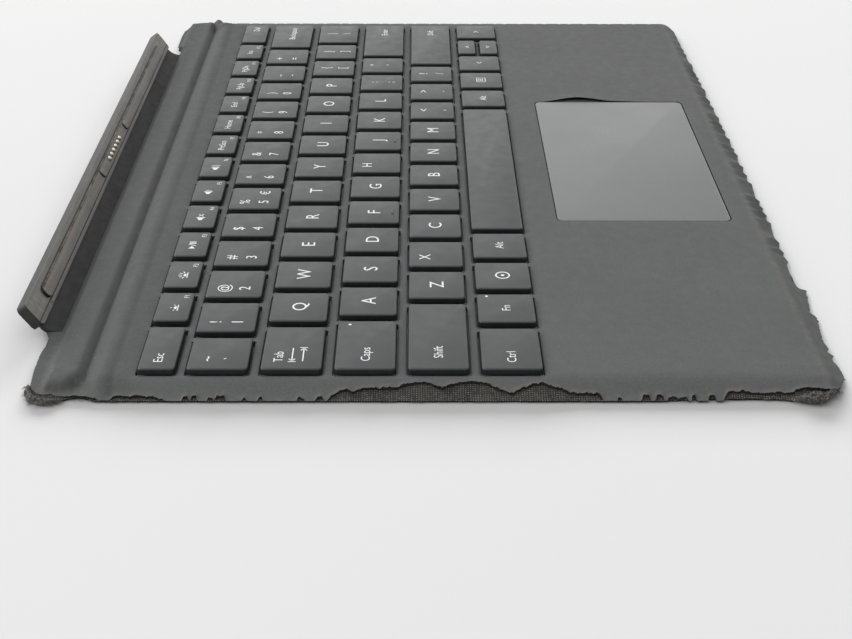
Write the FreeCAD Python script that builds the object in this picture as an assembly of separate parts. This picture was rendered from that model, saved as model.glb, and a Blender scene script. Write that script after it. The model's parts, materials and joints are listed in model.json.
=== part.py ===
import FreeCAD, Part
import math
import os

# Tablet cover with a built-in keyboard, in millimetres.
# Origin: centre of the cover's underside. +X to the typist's right, +Y towards the docking spine, +Z up.

V = FreeCAD.Vector
UP = V(0, 0, 1)
ALONG = V(1, 0, 0)

# Overall outline
cover_width = 292.0
cover_depth = 204.4
front_corner_radius = 7.0
panel_corner_radius = 4.5

# Layers, from the table up
skin_thickness = 0.4
base_plate_thickness = 0.6
light_guide_thickness = 0.25
switch_plate_thickness = 0.35
membrane_thickness = 0.3
deck_height = 3.7
key_bed_depth = 0.3
key_top_height = 4.9
ribbon_thickness = 0.25

# Edge of the formed skins: a flat flange, then a slope up to the deck
flange_width = 2.6
slope_run = 1.6
panel_flange_width = 0.5
panel_slope_run = 1.0

# Keys. The pitch along a row follows from the cover's width: a row is so many key pitches long.
keys_side_margin = 8.95
keys_per_row = 14.605
key_pitch_y = 18.8
key_gap = 3.4
key_travel = 1.3
function_key_depth = 9.3
function_key_gap = 3.1
key_rows_front = -25.8
cap_flare = 0.3
cap_corner = 0.9
cap_wall = 1.2
cap_top_thickness = 0.9
window_clearance = 0.25
arrow_gap = 2.0
bed_margin = 2.6
module_margin = 3.2
skirt_clearance = 0.05

# Key supports
dome_foot_radius = 2.2
dome_crown_radius = 1.3
dome_sides = 5
link_thickness = 0.5
link_bar = 0.8
link_clearance = 0.02
link_gap = 0.3
link_room = 0.4
link_depth_limit = 10.0
outer_link_width = 11.0

# Touchpad
touchpad_width = 100.4
touchpad_depth = 53.6
touchpad_front = -90.8
touchpad_shift = 2.3
touchpad_recess = 0.1
touchpad_plate_thickness = 0.8
touchpad_board_thickness = 0.8
touchpad_board_inset = 2.0
touchpad_clearance = 0.3
touchpad_travel = 0.5
touchpad_corner = 2.0
bracket_half_width = 40.0
bracket_depth = 8.0
bracket_thickness = 0.3
bracket_leg_width = 4.0
switch_side = 5.0
switch_offset = 5.0

# Controller and ribbon
board_left = -98.0
board_width = 40.0
board_front = -84.0
board_depth = 36.0
board_thickness = 0.8
chip_height = 0.7
chip_sizes = [(12.0, 12.0, 10.0, 10.0), (5.0, 7.0, 27.0, 9.0), (6.0, 6.0, 12.0, 27.0)]
pocket_clearance = 1.0
ribbon_width = 20.0
ribbon_board_overlap = 12.0
ribbon_end = 3.0

# Fold line and fold panel
fold_start = 89.6
fold_width = 3.0
fold_groove_height = 1.5
panel_end_flange = 4.6
panel_magnet_count = 6
panel_magnet_length = 24.0
panel_magnet_depth = 3.0
panel_magnet_height = 1.5
panel_magnet_pitch = 44.0

# Hinge fabric and docking spine
spine_tilt = 55.0
spine_length = 226.0
spine_width = 7.6
spine_thickness = 2.6
spine_back_bevel = 0.8
spine_end_bevel = 1.5
hinge_bend_radius = 6.2
hinge_tongue = 1.6
hinge_tongue_inset = 2.0
ribbon_tongue = 5.2
hinge_cutout_radius = 5.0
bar_length = 208.0
bar_width = 4.6
bar_height = 0.9
pin_count = 6
pin_pitch = 3.5
pin_radius = 0.85
pin_hole_clearance = 0.3
pin_sides = 8
pin_tip = 0.3
pin_stand = 0.7
pin_travel = 0.5
lug_offset = 19.5
lug_length = 4.4
lug_width = 2.6
lug_height = 1.2
lug_draft = 0.3
spine_magnet_width = 3.2
spine_magnet_depth = 1.6
spine_magnet_gap = 2.5
spine_magnets_each_side = 4
spine_magnet_lug_gap = 3.3
spine_magnet_end_margin = 1.0

# Heights that follow from the layers
half_width = cover_width / 2
half_depth = cover_depth / 2
base_top = skin_thickness + base_plate_thickness
switch_plate_base = base_top + light_guide_thickness
membrane_base = switch_plate_base + switch_plate_thickness
membrane_top = membrane_base + membrane_thickness
frame_top = deck_height - skin_thickness
bed_height = deck_height - key_bed_depth
bed_frame_top = frame_top - key_bed_depth
flange_top = 2 * skin_thickness
skirt_base = membrane_top + key_travel + skirt_clearance
cap_ceiling = key_top_height - cap_top_thickness

# Plan positions that follow from the sizes
fold_end = fold_start + fold_width
row_width = cover_width - 2 * keys_side_margin + key_gap
key_pitch_x = row_width / keys_per_row
keys_left = -half_width + keys_side_margin
letter_key_depth = key_pitch_y - key_gap
rows_back = key_rows_front + 5 * key_pitch_y - key_gap + function_key_gap + function_key_depth
touchpad_back = touchpad_front + touchpad_depth
touchpad_left = touchpad_shift - touchpad_width / 2
touchpad_right = touchpad_shift + touchpad_width / 2
frame_split = (key_rows_front + touchpad_back) / 2
touchpad_top = deck_height - touchpad_recess
touchpad_plate_base = touchpad_top - touchpad_plate_thickness
touchpad_board_base = touchpad_plate_base - touchpad_board_thickness
cut_reach = 3 * (key_top_height + spine_width)

parts = {}


def box(x0, x1, y0, y1, z0, z1):
    return Part.makeBox(x1 - x0, y1 - y0, z1 - z0, V(x0, y0, z0))


def moved(shape, x, y, z):
    copy = shape.copy()
    copy.translate(V(x, y, z))
    return copy


def corner_points(x_half, y0, y1, cut):
    """Corners of a rectangle, each cut straight across, counter-clockwise."""
    return [
        (-x_half + cut, y0),
        (x_half - cut, y0),
        (x_half, y0 + cut),
        (x_half, y1 - cut),
        (x_half - cut, y1),
        (-x_half + cut, y1),
        (-x_half, y1 - cut),
        (-x_half, y0 + cut),
    ]


def flat_face(points):
    return Part.Face(Part.makePolygon(points + points[:1]))


def closed_solid(faces):
    solid = Part.Solid(Part.Shell(faces))
    solid.fix(1e-6, 1e-6, 1e-6)
    return solid


def stack(rings):
    """A closed solid of flat faces through rings of points, given as (points, height) from the bottom up."""
    loops = [[V(x, y, z) for x, y in points] for points, z in rings]
    faces = [flat_face(loops[0]), flat_face(loops[-1])]
    for low, high in zip(loops, loops[1:]):
        for i in range(len(low)):
            j = (i + 1) % len(low)
            faces.append(flat_face([low[i], low[j], high[j], high[i]]))
    return closed_solid(faces)


def rounded_wire(x_half, y0, y1, front_radius, back_radius, z):
    """Outline with its own corner radius at the front and at the back. A radius of 0 is a square corner."""
    f, b = front_radius, back_radius
    s = math.sqrt(0.5)
    runs = [
        ((-x_half + f, y0), (x_half - f, y0)),
        ((x_half, y0 + f), (x_half, y1 - b)),
        ((x_half - b, y1), (-x_half + b, y1)),
        ((-x_half, y1 - b), (-x_half, y0 + f)),
    ]
    centres = [
        (x_half - f, y0 + f, f, s, -s),
        (x_half - b, y1 - b, b, s, s),
        (-x_half + b, y1 - b, b, -s, s),
        (-x_half + f, y0 + f, f, -s, -s),
    ]
    edges = []
    for i, (start, end) in enumerate(runs):
        edges.append(Part.makeLine(V(*start, z), V(*end, z)))
        cx, cy, r, dx, dy = centres[i]
        if r > 0:
            follow = runs[(i + 1) % 4][0]
            edges.append(Part.Arc(V(*end, z), V(cx + r * dx, cy + r * dy, z), V(*follow, z)).toShape())
    return Part.Wire(edges)


def rounded_plate(x_half, y0, y1, front_radius, back_radius, z0, z1):
    face = Part.Face(rounded_wire(x_half, y0, y1, front_radius, back_radius, z0))
    return face.extrude(V(0, 0, z1 - z0))


def sloped_block(outline, low, high, z0, z1):
    """Block whose sides lean in. low and high are the insets (side, front, back) at the two heights."""
    y0, y1, front_radius, back_radius = outline
    wires = []
    for (side, front, back), z in ((low, z0), (high, z1)):
        wires.append(
            rounded_wire(
                half_width - side,
                y0 + front,
                y1 - back,
                max(front_radius - side, 0),
                max(back_radius - side, 0),
                z,
            )
        )
    return Part.makeLoft(wires, True, True)


def formed_skin(outline, flange, run):
    """Top sheet with a flange, sloped sides and a hollow underneath. Returns the sheet and its hollow."""
    y0, y1, front_radius, back_radius = outline
    high = tuple(f + r for f, r in zip(flange, run))
    lining = tuple(skin_thickness if f > 0 else 0 for f in flange)
    outside = sloped_block(outline, flange, high, flange_top, deck_height)
    hollow = sloped_block(
        outline,
        tuple(f + t for f, t in zip(flange, lining)),
        tuple(h + t for h, t in zip(high, lining)),
        skin_thickness,
        frame_top,
    )
    rim = rounded_plate(half_width, y0, y1, front_radius, back_radius, skin_thickness, flange_top)
    return rim.fuse(outside).removeSplitter().cut(hollow), hollow


def group(shapes):
    return shapes[0] if len(shapes) == 1 else Part.makeCompound(shapes)


# Key rows, from the hinge side: front edge, key depth, and (node, cell width in key pitches, number of keys)
# from the left. A width of None takes what is left of the row.
letter_rows = [key_rows_front + n * key_pitch_y for n in range(5)]
function_row = letter_rows[4] + letter_key_depth + function_key_gap
row_table = [
    (function_row, function_key_depth, [
        ("escape_key", 1.305, 1), ("function_keys_left", 1, 6),
        ("function_keys_right", 1, 6), ("delete_key", None, 1)]),
    (letter_rows[4], letter_key_depth, [
        ("number_keys_left", 1, 6), ("number_keys_right", 1, 7),
        ("backspace_key", None, 1)]),
    (letter_rows[3], letter_key_depth, [
        ("tab_key", 1.3, 1), ("upper_keys_left", 1, 5),
        ("upper_keys_right", 1, 7), ("backslash_key", None, 1)]),
    (letter_rows[2], letter_key_depth, [
        ("caps_key", 1.474, 1), ("home_keys_left", 1, 5),
        ("home_keys_right", 1, 6), ("enter_key", None, 1)]),
    (letter_rows[1], letter_key_depth, [
        ("left_shift_key", 1.968, 1), ("lower_keys_left", 1, 5),
        ("lower_keys_right", 1, 5), ("right_shift_key", None, 1)]),
    (letter_rows[0], letter_key_depth, [
        ("control_key", 1.263, 1), ("fn_key", 1, 1), ("launcher_key", 1, 1),
        ("left_alt_key", 1, 1), ("space_bar", None, 1), ("right_alt_key", 1, 1),
        ("menu_key", 1, 1), ("left_arrow_key", 1, 1), ("up_down", 1, 1),
        ("right_arrow_key", 1, 1)]),
]


def lay_out_keys():
    """Every key as (node, centre x, centre y, width, depth), measured at the top of its cap."""
    keys = []
    for front, depth, cells in row_table:
        spare = keys_per_row - sum(pitches * count for _, pitches, count in cells if pitches)
        left = keys_left
        for node, pitches, count in cells:
            cell = (pitches or spare) * key_pitch_x
            width = cell - key_gap
            for _ in range(count):
                x, y = left + width / 2, front + depth / 2
                if node == "up_down":
                    half = (depth - arrow_gap) / 2
                    shift = (depth - half) / 2
                    keys.append(("up_arrow_key", x, y + shift, width, half))
                    keys.append(("down_arrow_key", x, y - shift, width, half))
                else:
                    keys.append((node, x, y, width, depth))
                left += cell
    return keys


def keycap(width, depth):
    """Low cap with leaning walls, corners cut at the top and a hollow underside, centred on the origin."""
    x, y = width / 2 + cap_flare, depth / 2 + cap_flare
    foot = [V(n * x, m * y, skirt_base) for n, m in ((-1, -1), (1, -1), (1, 1), (-1, 1))]
    top = [V(*p, key_top_height) for p in corner_points(width / 2, -depth / 2, depth / 2, cap_corner)]
    faces = [flat_face(foot), flat_face(top)]
    for i in range(4):
        j = (i + 1) % 4
        faces.append(flat_face([foot[i], foot[j], top[2 * i + 1], top[2 * i]]))
        faces.append(flat_face([foot[j], top[2 * j], top[2 * i + 1]]))
    x, y = width / 2 - cap_wall, depth / 2 - cap_wall
    return closed_solid(faces).cut(box(-x, x, -y, y, 0, cap_ceiling))


def link_depth(depth):
    return min(link_depth_limit, depth - 2 * cap_wall - link_room)


def many_sided(radius, sides):
    """Points of a regular outline that stands for a small circle."""
    turns = [2 * math.pi * n / sides for n in range(sides)]
    return [(radius * math.cos(a), radius * math.sin(a)) for a in turns]


def rubber_dome(depth):
    """Dome with flat sides, from the membrane up to the cap, narrowed where the links leave less room."""
    scale = min(1, (link_depth(depth) - 2 * link_bar - link_room) / (2 * dome_foot_radius))
    foot = many_sided(scale * dome_foot_radius, dome_sides)
    crown = many_sided(scale * dome_crown_radius, dome_sides)
    return stack([(foot, membrane_top), (crown, cap_ceiling)])


def link_frame(width, depth, tilt_sign):
    """One U-shaped frame of a scissor pair, tilted so that its ends reach the membrane and the cap."""
    middle = (membrane_top + cap_ceiling) / 2
    reach = (cap_ceiling - membrane_top) / 2 - link_clearance - link_thickness / 2
    angle = math.degrees(math.asin(reach / (depth / 2)))
    x, y, z = width / 2, depth / 2, link_thickness / 2
    frame = box(-x, x, -y, y, -z, z)
    frame = frame.cut(box(-x + link_bar, x - link_bar, -y + link_bar, y, -z, z))
    frame.rotate(V(0, 0, 0), ALONG, tilt_sign * angle)
    frame.translate(V(0, 0, middle))
    return frame


def scissor_pair(depth):
    """Two frames, one inside the other across the key, crossing at the middle."""
    inner_width = outer_link_width - 2 * (link_bar + link_gap)
    return [link_frame(outer_link_width, link_depth(depth), 1), link_frame(inner_width, link_depth(depth), -1)]


def build_keys(keys):
    caps, domes, links, windows, done = {}, [], [], [], {}
    for node, x, y, width, depth in keys:
        size = (round(width, 3), round(depth, 3))
        if size not in done:
            done[size] = keycap(width, depth), rubber_dome(depth), scissor_pair(depth)
        cap, dome, pair = done[size]
        caps.setdefault(node, []).append(moved(cap, x, y, 0))
        domes.append(moved(dome, x, y, 0))
        links += [moved(link, x, y, 0) for link in pair]
        room = cap_flare + window_clearance
        windows.append(
            box(x - width / 2 - room, x + width / 2 + room, y - depth / 2 - room, y + depth / 2 + room,
                0, cut_reach)
        )
    for node, shapes in caps.items():
        parts[node] = group(shapes)
    parts["rubber_domes"] = group(domes)
    parts["scissor_links"] = group(links)
    return Part.makeCompound(windows)


def ribbon_outline():
    """Flat cable from under the controller board, across to the middle, then to the fold."""
    half = ribbon_width / 2
    left = board_left + (board_width - ribbon_width) / 2
    low = board_front + board_depth - ribbon_board_overlap
    jog = frame_split - half
    return [
        (left, low), (left + ribbon_width, low), (left + ribbon_width, jog), (half, jog),
        (half, fold_start), (-half, fold_start), (-half, jog + ribbon_width), (left, jog + ribbon_width),
    ]


def build_deck(windows):
    outline = (-half_depth, fold_start, front_corner_radius, 0)
    flange = (flange_width, flange_width, 0)
    run = (slope_run, slope_run, 0)
    skin, hollow = formed_skin(outline, flange, run)

    bed_x, bed_y0, bed_y1 = -keys_left + bed_margin, key_rows_front - bed_margin, rows_back + bed_margin
    sheet = skin_thickness
    step = box(-bed_x - sheet, bed_x + sheet, bed_y0 - sheet, bed_y1 + sheet, bed_frame_top, frame_top)
    dip = box(-bed_x, bed_x, bed_y0, bed_y1, bed_height, cut_reach)
    room = touchpad_clearance
    pad_y0, pad_y1 = touchpad_front - room, touchpad_back + room
    pad_window = touchpad_outline(room, base_top, cut_reach)
    parts["deck_skin"] = skin.fuse(step).cut(dip).cut(windows).cut(pad_window).removeSplitter()

    # Mouldings under the skin, one round the keys and one round the touchpad
    filling = hollow.common(box(-half_width, half_width, -half_depth, fold_start, base_top, deck_height))
    filling = filling.cut(step)
    module_x = -keys_left + module_margin
    module_y0, module_y1 = key_rows_front - module_margin, rows_back + module_margin
    module = box(-module_x, module_x, module_y0, module_y1, base_top, membrane_top)
    lattice_side = box(-half_width, half_width, frame_split, fold_start, 0, cut_reach)
    parts["key_lattice"] = filling.common(lattice_side).cut(module).cut(windows)
    board_pocket = box(
        board_left - pocket_clearance,
        board_left + board_width + pocket_clearance,
        board_front - pocket_clearance,
        board_front + board_depth + pocket_clearance,
        base_top,
        base_top + board_thickness + chip_height + skin_thickness,
    )
    pad_opening = box(touchpad_left - room, touchpad_right + room, pad_y0, pad_y1, base_top, deck_height)
    parts["palm_frame"] = filling.cut(lattice_side).cut(pad_opening).cut(board_pocket)

    # Flat sheets under the mouldings
    lean = slope_run * base_plate_thickness / (frame_top - skin_thickness)
    inset = flange_width + skin_thickness + lean
    path = ribbon_outline()
    ribbon = flat_face([V(x, y, skin_thickness) for x, y in path]).extrude(UP * ribbon_thickness)
    left, low = path[0]
    riser = box(left, left + ribbon_width, low, low + ribbon_end, skin_thickness, base_top)
    ribbon = ribbon.fuse(riser).removeSplitter()
    parts["ribbon_keyboard"] = ribbon
    parts["bottom_skin"] = rounded_plate(
        half_width, -half_depth, fold_start, front_corner_radius, 0, 0, skin_thickness)
    plate = rounded_plate(
        half_width - inset, -half_depth + inset, fold_start, front_corner_radius - inset, 0,
        skin_thickness, base_top)
    parts["base_plate"] = plate.cut(ribbon)
    layers = [("light_guide", base_top, switch_plate_base), ("switch_plate", switch_plate_base, membrane_base),
              ("switch_membrane", membrane_base, membrane_top)]
    for node, z0, z1 in layers:
        parts[node] = box(-module_x, module_x, module_y0, module_y1, z0, z1)


def build_controller():
    right, back, z = board_left + board_width, board_front + board_depth, base_top + board_thickness
    parts["controller_board"] = box(board_left, right, board_front, back, base_top, z)
    chips = []
    for width, depth, x, y in chip_sizes:
        x0, y0 = board_left + x, board_front + y
        chips.append(box(x0, x0 + width, y0, y0 + depth, z, z + chip_height))
    parts["controller_chips"] = group(chips)


def touchpad_outline(room, z0, z1):
    """Plate with the touchpad's outline, wider by the room all round."""
    plate = rounded_plate(
        touchpad_width / 2 + room, touchpad_front - room, touchpad_back + room,
        touchpad_corner, touchpad_corner, z0, z1)
    return moved(plate, touchpad_shift, 0, 0)


def build_touchpad():
    parts["touchpad_plate"] = touchpad_outline(0, touchpad_plate_base, touchpad_top)
    inset = touchpad_board_inset
    parts["touchpad_board"] = box(
        touchpad_left + inset, touchpad_right - inset, touchpad_front + inset, touchpad_back - inset,
        touchpad_board_base, touchpad_plate_base)
    back = touchpad_back - inset
    leaf = box(
        touchpad_shift - bracket_half_width, touchpad_shift + bracket_half_width, back - bracket_depth, back,
        touchpad_board_base - bracket_thickness, touchpad_board_base)
    half_leg = bracket_leg_width / 2
    legs = []
    for n in (-1, 0, 1):
        x = touchpad_shift + n * (bracket_half_width - half_leg)
        legs.append(box(x - half_leg, x + half_leg, back - bracket_depth, back, base_top, touchpad_board_base))
    parts["touchpad_bracket"] = leaf.multiFuse(legs).removeSplitter()
    centre = touchpad_front + inset + switch_offset
    half = switch_side / 2
    parts["touchpad_switch"] = box(
        touchpad_shift - half, touchpad_shift + half, centre - half, centre + half,
        base_top, touchpad_board_base - touchpad_travel)


def build_fold():
    strip = [(fold_start, 0), (fold_end, 0), (fold_end, deck_height),
             ((fold_start + fold_end) / 2, fold_groove_height), (fold_start, deck_height)]
    crease = flat_face([V(-half_width, y, z) for y, z in strip]).extrude(V(cover_width, 0, 0))
    outline = (fold_start, fold_end, 0, 0)
    hump = sloped_block(
        outline, (flange_width, 0, 0), (flange_width + slope_run, 0, 0), flange_top, deck_height)
    rim = box(-half_width, half_width, fold_start, fold_end, 0, flange_top)
    fabric = crease.common(hump.fuse(rim)).removeSplitter()
    half = ribbon_width / 2
    ribbon = box(-half, half, fold_start, half_depth, skin_thickness, skin_thickness + ribbon_thickness)
    parts["fold_ribbon"] = ribbon
    parts["fold_fabric"] = fabric.cut(ribbon)
    return ribbon


def build_panel(ribbon):
    outline = (fold_end, half_depth, 0, panel_corner_radius)
    flange = (panel_end_flange, 0, panel_flange_width)
    run = (slope_run, 0, panel_slope_run)
    skin, hollow = formed_skin(outline, flange, run)
    parts["panel_top_skin"] = skin.cut(ribbon)
    parts["panel_bottom_skin"] = rounded_plate(
        half_width, fold_end, half_depth, 0, panel_corner_radius, 0, skin_thickness)
    middle = (fold_end + half_depth - panel_flange_width - skin_thickness - panel_slope_run) / 2
    magnets = []
    for n in range(panel_magnet_count):
        x = (n - (panel_magnet_count - 1) / 2) * panel_magnet_pitch
        magnets.append(
            box(x - panel_magnet_length / 2, x + panel_magnet_length / 2, middle - panel_magnet_depth / 2,
                middle + panel_magnet_depth / 2, frame_top - panel_magnet_height, frame_top)
        )
    parts["panel_magnets"] = group(magnets)
    parts["panel_stiffener"] = hollow.cut(Part.makeCompound(magnets)).cut(ribbon)


def place_on_spine(shape):
    """Moves a shape drawn flat (X along the spine, Y across its face, Z out of it) to its tilted place."""
    copy = shape.copy()
    bend = math.radians(spine_tilt)
    copy.rotate(V(0, 0, 0), ALONG, spine_tilt)
    copy.translate(V(
        0,
        half_depth + hinge_bend_radius * math.sin(bend),
        skin_thickness + hinge_bend_radius * (1 - math.cos(bend)),
    ))
    return copy


def bent_strip(x_half, below, above, tongue):
    """Strip that leaves the panel flat, bends up to the spine and runs a tongue's length into it."""
    centre = V(0, half_depth, skin_thickness + hinge_bend_radius)
    z0, z1 = skin_thickness - below, skin_thickness + above
    corners = ((-x_half, z0), (x_half, z0), (x_half, z1), (-x_half, z1))
    bend = flat_face([V(x, half_depth, z) for x, z in corners]).revolve(centre, ALONG, spine_tilt)
    run = place_on_spine(box(-x_half, x_half, 0, tongue, -below, above))
    return bend, run


def build_hinge():
    wide = spine_length / 2 + hinge_cutout_radius
    half = skin_thickness
    bend, tongue = bent_strip(wide, half, half, hinge_tongue)
    cutout_y = half_depth + hinge_cutout_radius
    for side in (-1, 1):
        cutout = Part.makeCylinder(hinge_cutout_radius, 2 * cut_reach, V(side * wide, cutout_y, -cut_reach))
        low_x, high_x = sorted((side * wide, side * spine_length / 2))
        spare = box(low_x, high_x, cutout_y, cutout_y + cut_reach, -cut_reach, cut_reach)
        bend = bend.cut(cutout).cut(spare)
    tongue_x = spine_length / 2 - hinge_tongue_inset
    tongue = tongue.common(box(-tongue_x, tongue_x, half_depth, half_depth + cut_reach, -cut_reach, cut_reach))
    ribbon_bend, ribbon_run = bent_strip(ribbon_width / 2, 0, ribbon_thickness, ribbon_tongue)
    ribbon = ribbon_bend.fuse(ribbon_run).removeSplitter()
    fabric = bend.fuse(tongue).removeSplitter()
    parts["hinge_ribbon"] = ribbon
    parts["hinge_fabric"] = fabric.cut(ribbon)
    return tongue.fuse(ribbon_run)


def stadium(length, width, z0, z1):
    """Bar with round ends, along X and centred on Y = 0."""
    r = width / 2
    bar = box(-length / 2 + r, length / 2 - r, -r, r, z0, z1)
    ends = [Part.makeCylinder(r, z1 - z0, V(n * (length / 2 - r), 0, z0)) for n in (-1, 1)]
    return bar.multiFuse(ends).removeSplitter()


def build_spine(tongue):
    half = spine_thickness / 2
    middle = spine_width / 2
    shell = box(-spine_length / 2, spine_length / 2, 0, spine_width, -half, half)
    corners = [e for e in shell.Edges if abs(e.tangentAt(e.FirstParameter).z) > 0.9]
    shell = shell.makeChamfer(spine_end_bevel, corners)
    back = [e for e in shell.Edges
            if e.BoundBox.ZMax < -half + 0.01 and e.BoundBox.XLength > spine_length / 2]
    shell = shell.makeChamfer(spine_back_bevel, back)

    bar_top = half + bar_height
    bar = moved(stadium(bar_length, bar_width, half, bar_top), 0, middle, 0)
    foot, tip = ribbon_thickness + pin_travel, bar_top + pin_stand
    shank, nose = many_sided(pin_radius, pin_sides), many_sided(pin_radius - pin_tip, pin_sides)
    bore = many_sided(pin_radius + pin_hole_clearance, pin_sides)
    pin = stack([(shank, foot), (shank, tip - pin_tip), (nose, tip)])
    hole = stack([(bore, half), (bore, bar_top)])
    places = [(n - (pin_count - 1) / 2) * pin_pitch for n in range(pin_count)]
    pins = [moved(pin, x, middle, 0) for x in places]
    holes = [moved(hole, x, middle, 0) for x in places]
    room = pin_radius + pin_hole_clearance
    well = box(places[0] - room, places[-1] + room, middle - room, middle + room, ribbon_thickness, half)
    magnets = []
    start = lug_offset + lug_length / 2 + spine_magnet_lug_gap
    pitch = (bar_length / 2 - spine_magnet_end_margin - start) / spine_magnets_each_side
    length = pitch - spine_magnet_gap
    for side in (-1, 1):
        for n in range(spine_magnets_each_side):
            x = side * (start + (n + 0.5) * pitch)
            magnets.append(box(
                x - length / 2, x + length / 2, middle - spine_magnet_width / 2,
                middle + spine_magnet_width / 2, half - spine_magnet_depth, half))
    lugs = []
    for side in (-1, 1):
        x, y = lug_length / 2, lug_width / 2
        foot = corner_points(x, -y, y, 2 * lug_draft)
        top = corner_points(x - lug_draft, -y + lug_draft, y - lug_draft, lug_draft)
        lugs.append(moved(stack([(foot, bar_top), (top, bar_top + lug_height)]), side * lug_offset, middle, 0))

    shell = shell.cut(well).cut(Part.makeCompound(magnets))
    parts["spine_shell"] = place_on_spine(shell).cut(tongue)
    parts["docking_bar"] = place_on_spine(bar.cut(Part.makeCompound(holes)))
    parts["contact_pins"] = group([place_on_spine(p) for p in pins])
    parts["alignment_lugs"] = group([place_on_spine(p) for p in lugs])
    parts["spine_magnets"] = group([place_on_spine(p) for p in magnets])


key_windows = build_keys(lay_out_keys())
build_deck(key_windows)
build_controller()
build_touchpad()
fold_cable = build_fold()
build_panel(fold_cable)
hinge_slot = build_hinge()
build_spine(hinge_slot)

os.makedirs("parts", exist_ok=True)
for node, shape in parts.items():
    shape.exportStep("parts/" + node + ".step")
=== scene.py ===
import bmesh
import bpy
import json
import math
import random
from mathutils import Matrix, Vector, noise
from mathutils.geometry import delaunay_2d_cdt


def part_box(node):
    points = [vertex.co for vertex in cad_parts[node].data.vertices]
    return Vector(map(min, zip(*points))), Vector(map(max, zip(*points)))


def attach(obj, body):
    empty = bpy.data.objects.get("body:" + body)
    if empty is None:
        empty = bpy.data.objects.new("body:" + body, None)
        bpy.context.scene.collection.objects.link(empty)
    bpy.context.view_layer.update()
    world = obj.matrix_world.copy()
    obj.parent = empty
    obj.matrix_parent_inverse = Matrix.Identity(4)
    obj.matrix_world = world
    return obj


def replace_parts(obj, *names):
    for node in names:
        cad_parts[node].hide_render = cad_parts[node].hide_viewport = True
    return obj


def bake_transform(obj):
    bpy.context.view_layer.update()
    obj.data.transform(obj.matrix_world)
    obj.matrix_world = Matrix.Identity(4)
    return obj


# Looks of a tablet cover with a built-in keyboard. Sizes are in millimetres until a mesh is made.
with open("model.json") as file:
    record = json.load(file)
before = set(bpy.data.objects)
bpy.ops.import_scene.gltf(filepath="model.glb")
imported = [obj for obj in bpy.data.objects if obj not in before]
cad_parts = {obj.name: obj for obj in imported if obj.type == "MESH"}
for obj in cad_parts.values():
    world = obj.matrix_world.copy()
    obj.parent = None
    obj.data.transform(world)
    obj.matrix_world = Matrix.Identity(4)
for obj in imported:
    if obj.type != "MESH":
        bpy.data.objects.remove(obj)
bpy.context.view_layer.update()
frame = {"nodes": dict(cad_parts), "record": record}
MM = 0.001
smooth_angle = math.radians(40)
dice = random.Random(7)

# Camera, from the fit to the key corners in the photograph
camera_place = (-449.9, 6.3, 197.2)
camera_pitch = math.radians(29.624)
camera_yaw = math.radians(0.423)
camera_roll = math.radians(0.212)
camera_lens = 61.12
camera_sensor = 36.0

# Layers of the cover
film_thickness = 0.22
backing_thickness = 0.16
backing_reach = 9.4
backing_sink = 0.35
backing_tuck = 2.0
backing_step = 0.45
layer_gap = 0.02
sheet_thickness = 0.4

# Formed shape of the top. A side is where its foot lies inside the cover's edge, and how wide its rise is.
edge_level = 0.62
groove_lift = 0.85
deck_left = (0.6, 7.4)
deck_right = (0.2, 2.4)
deck_front = (-1.6, 6.2)
groove_line = 91.3
deck_back_rise = 5.2
deck_lip = 0.26
deck_corner_cut = 4.0
panel_left_end = (4.9, 4.4)
panel_right_end = (-0.6, 2.6)
panel_front_rise = 1.8
panel_back_side = (0.3, 2.6)
panel_fall = 0.5
panel_end_shift = 1.3
window_dip = 0.14
window_dip_width = 2.2
row_dip = 0.26
row_dip_width = 3.2
window_room = 0.4
window_rim = 0.4
window_corner = 1.2
window_roll = 0.08
touchpad_room = 0.3
touchpad_corner = 2.0
touchpad_edge = 0.16

# Corner radii of the sheets, from the front left round to the back left, and the steps along their outlines
film_corners = (5.0, 7.0, 2.0, 4.5)
film_edge_step = 0.35
bottom_corners = (12.0, 7.0, 4.5, 4.5)
bottom_edge_step = 0.6

# Hidden parts
moulding_drop = 0.5
moulding_back_gap = 0.6
moulding_corner = 8.5
ribbon_step = 0.4

# Fluff
corner_fibres = 150
tear_fibres = 420
rings_per_length = 8
points_per_ring = 18

floor_level = -0.05
floor_size = 8

# Keys
cap_flare = 0.3
cap_corner = 1.0
cap_edge = 0.36
cap_gap_at_foot = 2.8
# The domes and links end at this height, to stay inside a pressed cap
pressed_cap_room = 2.7
letter_height = 3.9
pair_height = 3.1
word_height = 2.35
tag_height = 2.1
icon_scale = 1.35
small_height = 1.4
shifted_letter_height = 3.2
legend_lift = 0.012
lamp_radius = 0.42
home_ridge_inset = 2.0


def mm_box(node):
    low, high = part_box(node)
    return low / MM, high / MM


cover_low, cover_high = mm_box("bottom_skin")
_, deck_high = mm_box("deck_skin")
panel_low, panel_high = mm_box("panel_top_skin")
pad_low, pad_high = mm_box("touchpad_plate")
edge_x = cover_high.x
front_y = cover_low.y
fold_start = deck_high.y
fold_end = panel_low.y
panel_back = panel_high.y
deck_top = deck_high.z
window_reach = cap_flare + window_room

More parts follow.
